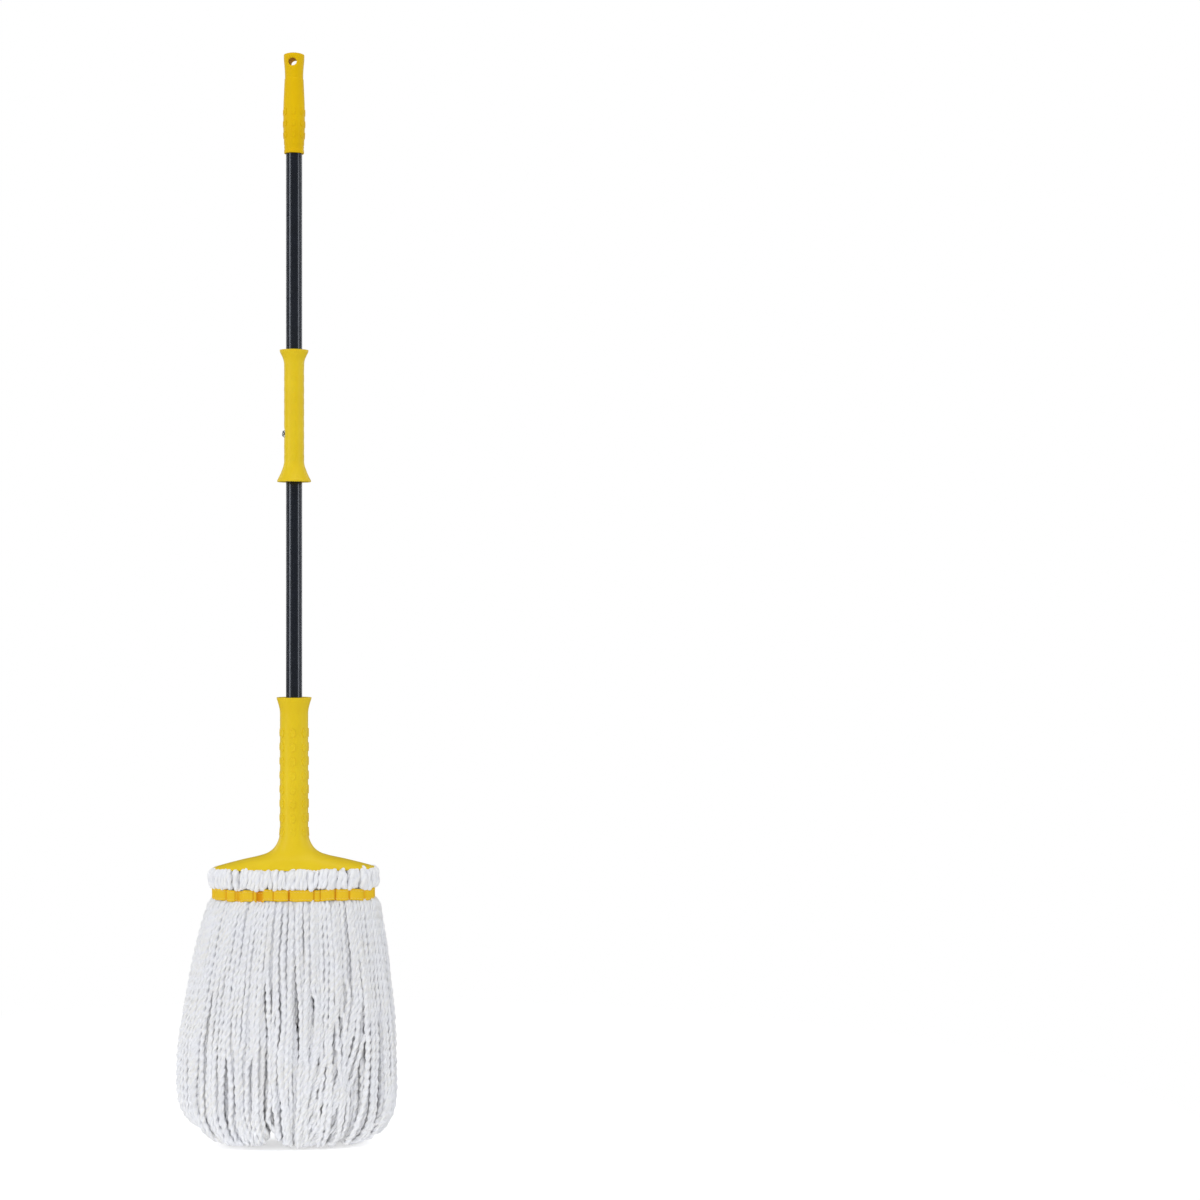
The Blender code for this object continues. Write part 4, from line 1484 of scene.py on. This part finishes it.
@dataclass
class HangingYarn:
    """The looped yarn below the tape, its outline lopsided, with two lobes at the bottom.

    Each strand hangs from the tape, turns under at the bottom and runs in towards the anchor.
    """

    dresser: Dresser
    tape: Tape
    radius: float = 4.25 * MM
    turn_height: float = 50 * MM
    turn_share: float = 0.80
    hank_pitch: float = 4.0  # mm along the tape for each radian of a hank's swing
    hank_swing: tuple[float, float] = (1.2 * MM, 1.5 * MM)  # along the outline and outwards
    lobe_middle: float = 76 * MM  # of the front's right lobe, along X
    lobe_half: float = 56 * MM
    lobe_top: float = 0.205
    lobe_height: float = 0.185
    lobe_sweep: tuple[float, float] = (54 * MM, 6.5 * MM)  # to the left and forwards
    even_from: float = 0.306      # height from which a strand's control points are evenly spaced
    even_levels: int = 18

    # How the strands wander: amount, and the height over which each wave turns one radian.
    waves = ((1.0, 0.060), (0.5, 0.026), (0.24, 0.011), (0.16, 0.0052))
    # How each loop runs in under the bundle: share of its reach that is left, and rise in mm.
    under_turn = ((1.0, 0.0), (0.86, 1.2), (0.72, 7.0), (0.60, 20.0), (0.52, 40.0))

    layers = (Layer("outer", 116, 0.0, 12, 2.9 * MM, 2.6 * MM, 41),
              Layer("second", 116, 4.6 * MM, 12, 3.1 * MM, 2.8 * MM, 42),
              Layer("third", 100, 9.5 * MM, 8, 3.6 * MM, 3.2 * MM, 43),
              Layer("core", 76, 17 * MM, 8, 4.5 * MM, 4.0 * MM, 44))
    bundles = ("yarn_bundle_right", "yarn_bundle_back_right", "yarn_bundle_back_left",
               "yarn_bundle_left", "yarn_bundle_front_left", "yarn_bundle_front_right")
    partings = (Parting((0.032, 0.232), (0.018, 0.070), 4.6 * MM),
                Parting((0.078, 0.260), (0.060, 0.095), 2.6 * MM),
                Parting((-0.056, 0.205), (-0.057, 0.020), 2.8 * MM),
                Parting((-0.036, 0.255), (-0.034, 0.150), 2.2 * MM),
                Parting((0.002, 0.300), (0.006, 0.170), 2.2 * MM),
                Parting((-0.030, 0.050), (-0.030, -0.030), 3.4 * MM))

    # The bundle's centre lines in mm: height, reach to the left, reach to the right, half depth.
    envelope = np.array([(352, 104.5, 104.5, 31.0), (338.5, 105.0, 105.0, 31.5), (333.5, 111.5, 112.0, 35.5),
                         (327, 114.0, 114.5, 39.5), (315, 118.5, 115.5, 43.5), (302, 121.5, 117.2, 46.5),
                         (261, 132.0, 123.8, 52.0), (220, 140.0, 127.5, 56.0), (179, 147.3, 133.0, 59.0),
                         (138, 153.3, 135.5, 60.5), (97, 154.8, 137.0, 60.5), (56, 154.3, 136.5, 58.0),
                         (20, 151.5, 133.5, 54.0), (0, 149.5, 131.5, 52.0)]) * MM
    # Height of the lowest yarn along X, in mm.
    hem = np.array([(-165, 95), (-158, 80), (-147, 49), (-136, 38), (-125, 28), (-114, 17), (-104, 10),
                    (-92, 5), (-82, 3), (-60, 1), (-42, 3), (-36, 7), (-31, 16), (-27, 20), (-23, 15),
                    (-18, 7), (-12, 3), (0, 0.5), (50, 0), (71, 0), (93, 2), (104, 6), (115, 13),
                    (126, 31), (137, 54), (142, 88)]) * MM

    def edge(self, direction: Array, height: Array, inset: Array) -> Array:
        """Points of the outline, or of a line inside it.

        Args:
            direction: Angle of each strand round the bundle.
            height: Height of each point, strand by level.
            inset: How far inside the outline each point lies.

        Returns:
            Points as x and y, strand by level by two.
        """
        order = self.envelope[::-1]
        left, right, depth = (np.interp(height, order[:, 0], order[:, k]) - inset for k in (1, 2, 3))
        cosine, sine = np.cos(direction)[:, None], np.sin(direction)[:, None]
        x = np.where(cosine < 0, left, right) * np.sign(cosine) * np.abs(cosine) ** (2 / 2.4)
        y = depth * np.sign(sine) * np.abs(sine) ** (2 / 2.4)
        return np.stack([x, y], -1)

    def directions(self, layer: Layer, rng: np.random.Generator) -> Array:
        """Return a layer's directions, spread evenly along the outline."""
        even = Rim(1.30, 0.52, 2.4)
        spots = even.at((np.arange(layer.count) + 0.5) * even.length / layer.count)
        found = np.arctan2(np.sign(spots[:, 1]) * np.abs(spots[:, 1] / 0.52) ** 1.2,
                           np.sign(spots[:, 0]) * np.abs(spots[:, 0] / 1.30) ** 1.2)
        return found + rng.normal(0, 0.014, layer.count)

    def swept(self, flat: Array, height: Array, share: Array, opening: float) -> Array:
        """Move the front's strands apart at the partings, and sweep its right lobe to the left.

        Args:
            flat: Points as x and y, strand by level by two.
            height: Their heights.
            share: How much each strand sweeps.
            opening: How far this layer parts, of what the outer one does.

        Returns:
            The moved points.
        """
        x, y = flat[..., 0], flat[..., 1]
        front = np.clip(-y / (30 * MM), 0, 1)
        for parting in self.partings:
            x = x + parting.push(x, height) * front * opening
        low = np.clip((self.lobe_top - height) / self.lobe_height, 0, 1) ** 1.15
        lobe = np.clip(1 - ((x - self.lobe_middle) / self.lobe_half) ** 2, 0, 1)
        move = low * lobe * front * share[:, None]
        left, forwards = self.lobe_sweep
        return np.stack([x - left * move, y - forwards * move], -1)

    def gathered(self, flat: Array, height: Array, spot: Array) -> Array:
        """Draw neighbouring strands together into loose hanks, which part and close as they fall.

        Args:
            flat: Points as x and y, strand by level by two.
            height: Their heights.
            spot: Each strand's distance along the tape.

        Returns:
            The moved points.
        """
        place = spot[:, None] / MM
        uneven = 5.5 * np.sin(place / 23.0) + 5.0 * np.sin(height / (70 * MM) + place / 38.0)
        turn = (place + uneven) / self.hank_pitch
        hang = np.clip((0.336 - height) / 0.040, 0, 1)
        length = np.linalg.norm(flat, axis=2, keepdims=True)
        along = np.stack([-flat[..., 1], flat[..., 0]], -1) / length
        out = flat / length
        hank = self.hank_swing[0] * np.sin(turn) * hang
        bulge = self.hank_swing[1] * np.cos(turn) * hang
        return flat - along * hank[..., None] + out * bulge[..., None]

    def strand_paths(self, layer: Layer) -> tuple[Array, Array, Array]:
        """Set out a layer's strands.

        Args:
            layer: The layer.

        Returns:
            Paths by control point by x, y, z, each path's thickness, and its direction.
        """
        rng = np.random.default_rng(layer.seed)
        direction, count = self.directions(layer, rng), layer.count
        top = np.tile(np.array([350, 343, 337.5, 332, 324]) * MM, (count, 1))
        low_x = self.edge(direction, np.full((count, 1), 0.02), 0)[:, 0, 0] * self.turn_share
        foot = np.interp(low_x, self.hem[:, 0], self.hem[:, 1]) + self.radius
        foot = foot + np.abs(rng.normal(0, 2.0 * MM, count)) + layer.depth * 0.8
        turn_top = foot + self.turn_height
        even = np.linspace(0, 1, self.even_levels)[None, :]
        middle = self.even_from + (turn_top[:, None] - self.even_from) * even
        arc = np.array([0.35, 0.66, 0.90])
        turning = turn_top[:, None] - arc[None, :] * self.turn_height
        height = np.concatenate([top, middle, turning], 1)
        inset = layer.depth * np.clip(0.35 + (0.345 - height) / 0.05, 0.35, 1)
        spot = self.tape.rim.locate(direction)
        tucked = np.max([self.tape.sunk(spot + beside * MM)[0] for beside in (-5, -2, 2, 5)], 0)[:, None]
        inset = inset + tucked * np.clip((height - 0.325) / 0.010, 0, 1)
        flat = self.edge(direction, height, inset)
        closing = 1 - (1 - self.turn_share) * (1 - np.sqrt(1 - arc ** 2))
        flat[:, -3:] *= closing[None, :, None]
        flat = self.gathered(flat, height, spot)
        loose = np.clip((0.333 - height) / 0.16, 0, 1)
        wander = sum(rng.normal(0, amount, (count, 1))
                     * np.sin(height / length + rng.uniform(0, 6.28, (count, 1)))
                     for amount, length in self.waves)
        side = np.stack([-np.sin(direction), np.cos(direction) * 0.45], -1)
        flat = flat + side[:, None, :] * (wander * loose * layer.wave)[..., None]
        inward = (rng.normal(0, 1.0 * MM, (count, 1)) - 1.4 * MM * rng.uniform(0, 1, (count, 1))) * loose
        flat = flat * (1 + inward / np.linalg.norm(flat, axis=2))[..., None]
        sweeping = np.where(rng.uniform(0, 1, count) < 0.62, 1.0, 0.12) * (layer.depth < 8 * MM)
        opening = max(0.0, 1 - layer.depth / (7 * MM))
        flat = self.swept(flat, height, sweeping, opening)
        hanging = np.concatenate([flat, height[..., None]], -1)
        last = self.edge(direction, foot[:, None], inset[:, -1:])[:, 0]
        last = self.swept(last[:, None] * self.turn_share, foot[:, None], sweeping, opening)[:, 0]
        sideways = np.clip(np.abs(last[:, 0]) / (55 * MM) - 1, 0, 1)
        under = []
        for part, rise in self.under_turn:
            inwards = np.stack([1 - (1 - part) * sideways, np.full_like(sideways, part)], -1)
            under.append(np.column_stack([last * inwards, foot + rise * MM]))
        under = np.stack(under, 1)
        return np.concatenate([hanging, under], 1), rng.uniform(0.90, 1.12, count), direction

    def bundle_of(self, direction: Array) -> Array:
        """Return the number of the bundle that each direction belongs to."""
        step = math.tau / len(self.bundles)
        return (((direction + step / 2) % math.tau) // step).astype(int) % len(self.bundles)

    def build(self) -> None:
        """Build every bundle, layer by layer, and the strands that run back to the anchor."""
        laid = [(layer, *self.strand_paths(layer)) for layer in self.layers]
        top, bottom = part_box(self.bundles[0])[1].z, 0.030
        for number, node in enumerate(self.bundles):
            for layer, controls, thickness, direction in laid:
                chosen = self.bundle_of(direction) == number
                sweep = StrandSweep(f"{node}_{layer.name}", self.radius, sides=layer.sides,
                                    step=layer.step, seed=layer.seed + number, start_share=0.66,
                                    swell=(11 * MM, 30 * MM))
                piece = sweep.build(controls[chosen], thickness[chosen])
                self.dresser.bend(piece, Slot.YARN, (Body.SLIDER, Body.HEAD), (bottom, top), [node])
        self.return_strands()

    def return_strands(self, count: int = 36) -> None:
        """Build the strands from the loops up to the anchor.

        Args:
            count: Strands round the anchor.
        """
        rng = np.random.default_rng(51)
        direction = math.tau * (np.arange(count) + 0.5) / count
        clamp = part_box("anchor_cap")[1].z + 1.7 * MM
        flat = np.column_stack([np.cos(direction), np.sin(direction)])
        oblong = np.column_stack([np.cos(direction) * 58 * MM, np.sin(direction) * 30 * MM])
        oblong = oblong * rng.uniform(0.85, 1.1, (count, 1))
        foot = rng.uniform(0.030, 0.048, count)
        levels = ((0.0155, 1.0, 0.0), (0.0215, 0.99, 0.0), (0.0235, 0.93, 0.05), (0.0240, 0.72, 0.25),
                  (0.0245, 0.42, 0.60), (0.0250, 0.12, 0.95), (0.0250, 0.0, 1.0))
        points = [np.column_stack([flat * reach * (1 - out) + oblong * out,
                                   foot + (clamp - foot) * up]) for reach, up, out in levels]
        sweep = StrandSweep("return_yarn_strands", 2.6 * MM, sides=8, step=3.2 * MM, seed=52)
        piece = sweep.build(np.stack(points, 1))
        self.dresser.bend(piece, Slot.YARN, (Body.POLE, Body.SLIDER), (clamp - 0.004, 0.045),
                          ["return_yarn"])


# --------------------------------------------------------------------------- the studio


@dataclass
class Studio:
    """White floor, soft light and a camera level with the middle of the mop."""

    stand: tuple[float, float, float] = (0.20, -3.6, 0.7443)
    aim: tuple[float, float, float] = (0.4202, 0.0, 0.7443)
    frame_height: float = 1.657         # metres of the mop's plane that the picture holds
    sensor_mm: float = 36.0

    def build(self) -> None:
        """Set up the studio."""
        self.camera()
        self.floor()
        self.world()
        self.softbox("key", (-2.85, -1.6, 1.2), (0.8, 3.0), 26.0)
        self.softbox("fill", (3.05, -0.95, 1.1), (0.8, 2.8), 17.0)
        self.softbox("front", (-0.6, -4.6, 1.7), (3.0, 2.4), 58.0, mirrored=False)
        self.softbox("top", (0.3, -0.6, 3.4), (2.4, 2.4), 20.0)
        self.softbox("back_left", (-2.7, 2.4, 1.6), (1.2, 2.4), 16.0)
        self.softbox("back_right", (2.7, 2.4, 1.6), (1.2, 2.4), 16.0)
        view = bpy.context.scene.view_settings
        view.view_transform, view.look, view.exposure, view.gamma = "Standard", "None", 0.0, 1.0

    def camera(self) -> None:
        """Place the camera, aimed a little to the right of the mop."""
        towards = Vector(self.aim) - Vector(self.stand)
        data = bpy.data.cameras.new("camera")
        data.sensor_width = self.sensor_mm
        data.lens = self.sensor_mm * towards.length / self.frame_height
        data.clip_end = 200.0
        camera = bpy.data.objects.new("camera", data)
        bpy.context.scene.collection.objects.link(camera)
        camera.location = self.stand
        camera.rotation_euler = towards.to_track_quat("-Z", "Y").to_euler()
        bpy.context.scene.camera = camera

    def floor(self) -> None:
        """Lay the floor just under the lowest yarn."""
        deselect_all()
        bpy.ops.mesh.primitive_circle_add(vertices=96, radius=60.0, fill_type="NGON",
                                          location=(0, 0, -0.002))
        floor = bpy.context.active_object
        floor.name = "studio_floor"
        floor.data.materials.append(PaperFloor().make())

    def world(self) -> None:
        """Light the scene from all round, softly, before a white ground."""
        world = bpy.data.worlds.new("studio_world")
        bpy.context.scene.world = world
        world.use_nodes = True
        tree = world.node_tree
        tree.nodes.clear()
        path = add_node(tree, "ShaderNodeLightPath")
        dim = remap(tree, path.outputs["Is Glossy Ray"], 0.50, 0.11, 0.0, 1.0)
        soft = add_node(tree, "ShaderNodeBackground", values={"Color": (0.95, 0.97, 1.0, 1)},
                        links={"Strength": dim})
        white = add_node(tree, "ShaderNodeBackground", values={"Color": (1, 1, 1, 1), "Strength": 1.0})
        mixed = add_node(tree, "ShaderNodeMixShader", links={
            0: path.outputs["Is Camera Ray"], 1: soft.outputs[0], 2: white.outputs[0]})
        add_node(tree, "ShaderNodeOutputWorld", links={"Surface": mixed.outputs[0]})

    def softbox(self, name: str, place: Sequence[float], size: Sequence[float], power: float,
                mirrored: bool = True) -> None:
        """Stand a softbox that faces the mop.

        Args:
            name: Its name.
            place: Where it stands.
            size: Its width and height.
            power: Its light, in watts.
            mirrored: Whether polished surfaces show it.
        """
        data = bpy.data.lights.new(name, "AREA")
        data.shape, data.size, data.size_y, data.energy = "RECTANGLE", size[0], size[1], power
        light = bpy.data.objects.new(name, data)
        bpy.context.scene.collection.objects.link(light)
        light.location = place
        light.visible_glossy = mirrored
        towards = Vector((0, 0, 0.75)) - Vector(place)
        light.rotation_euler = towards.to_track_quat("-Z", "Y").to_euler()


def main() -> None:
    """Build the studio and every piece of the mop."""
    logging.basicConfig(level=logging.INFO, format="%(name)s: %(message)s")
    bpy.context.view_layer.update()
    Studio().build()
    dresser = Dresser(Finishes())
    Pole(dresser).build()
    Wringer(dresser).build()
    tape = Tape(dresser)
    Header(dresser, tape).build()
    tape.build()
    HangingYarn(dresser, tape).build()


if __name__ == "__main__":
    main()
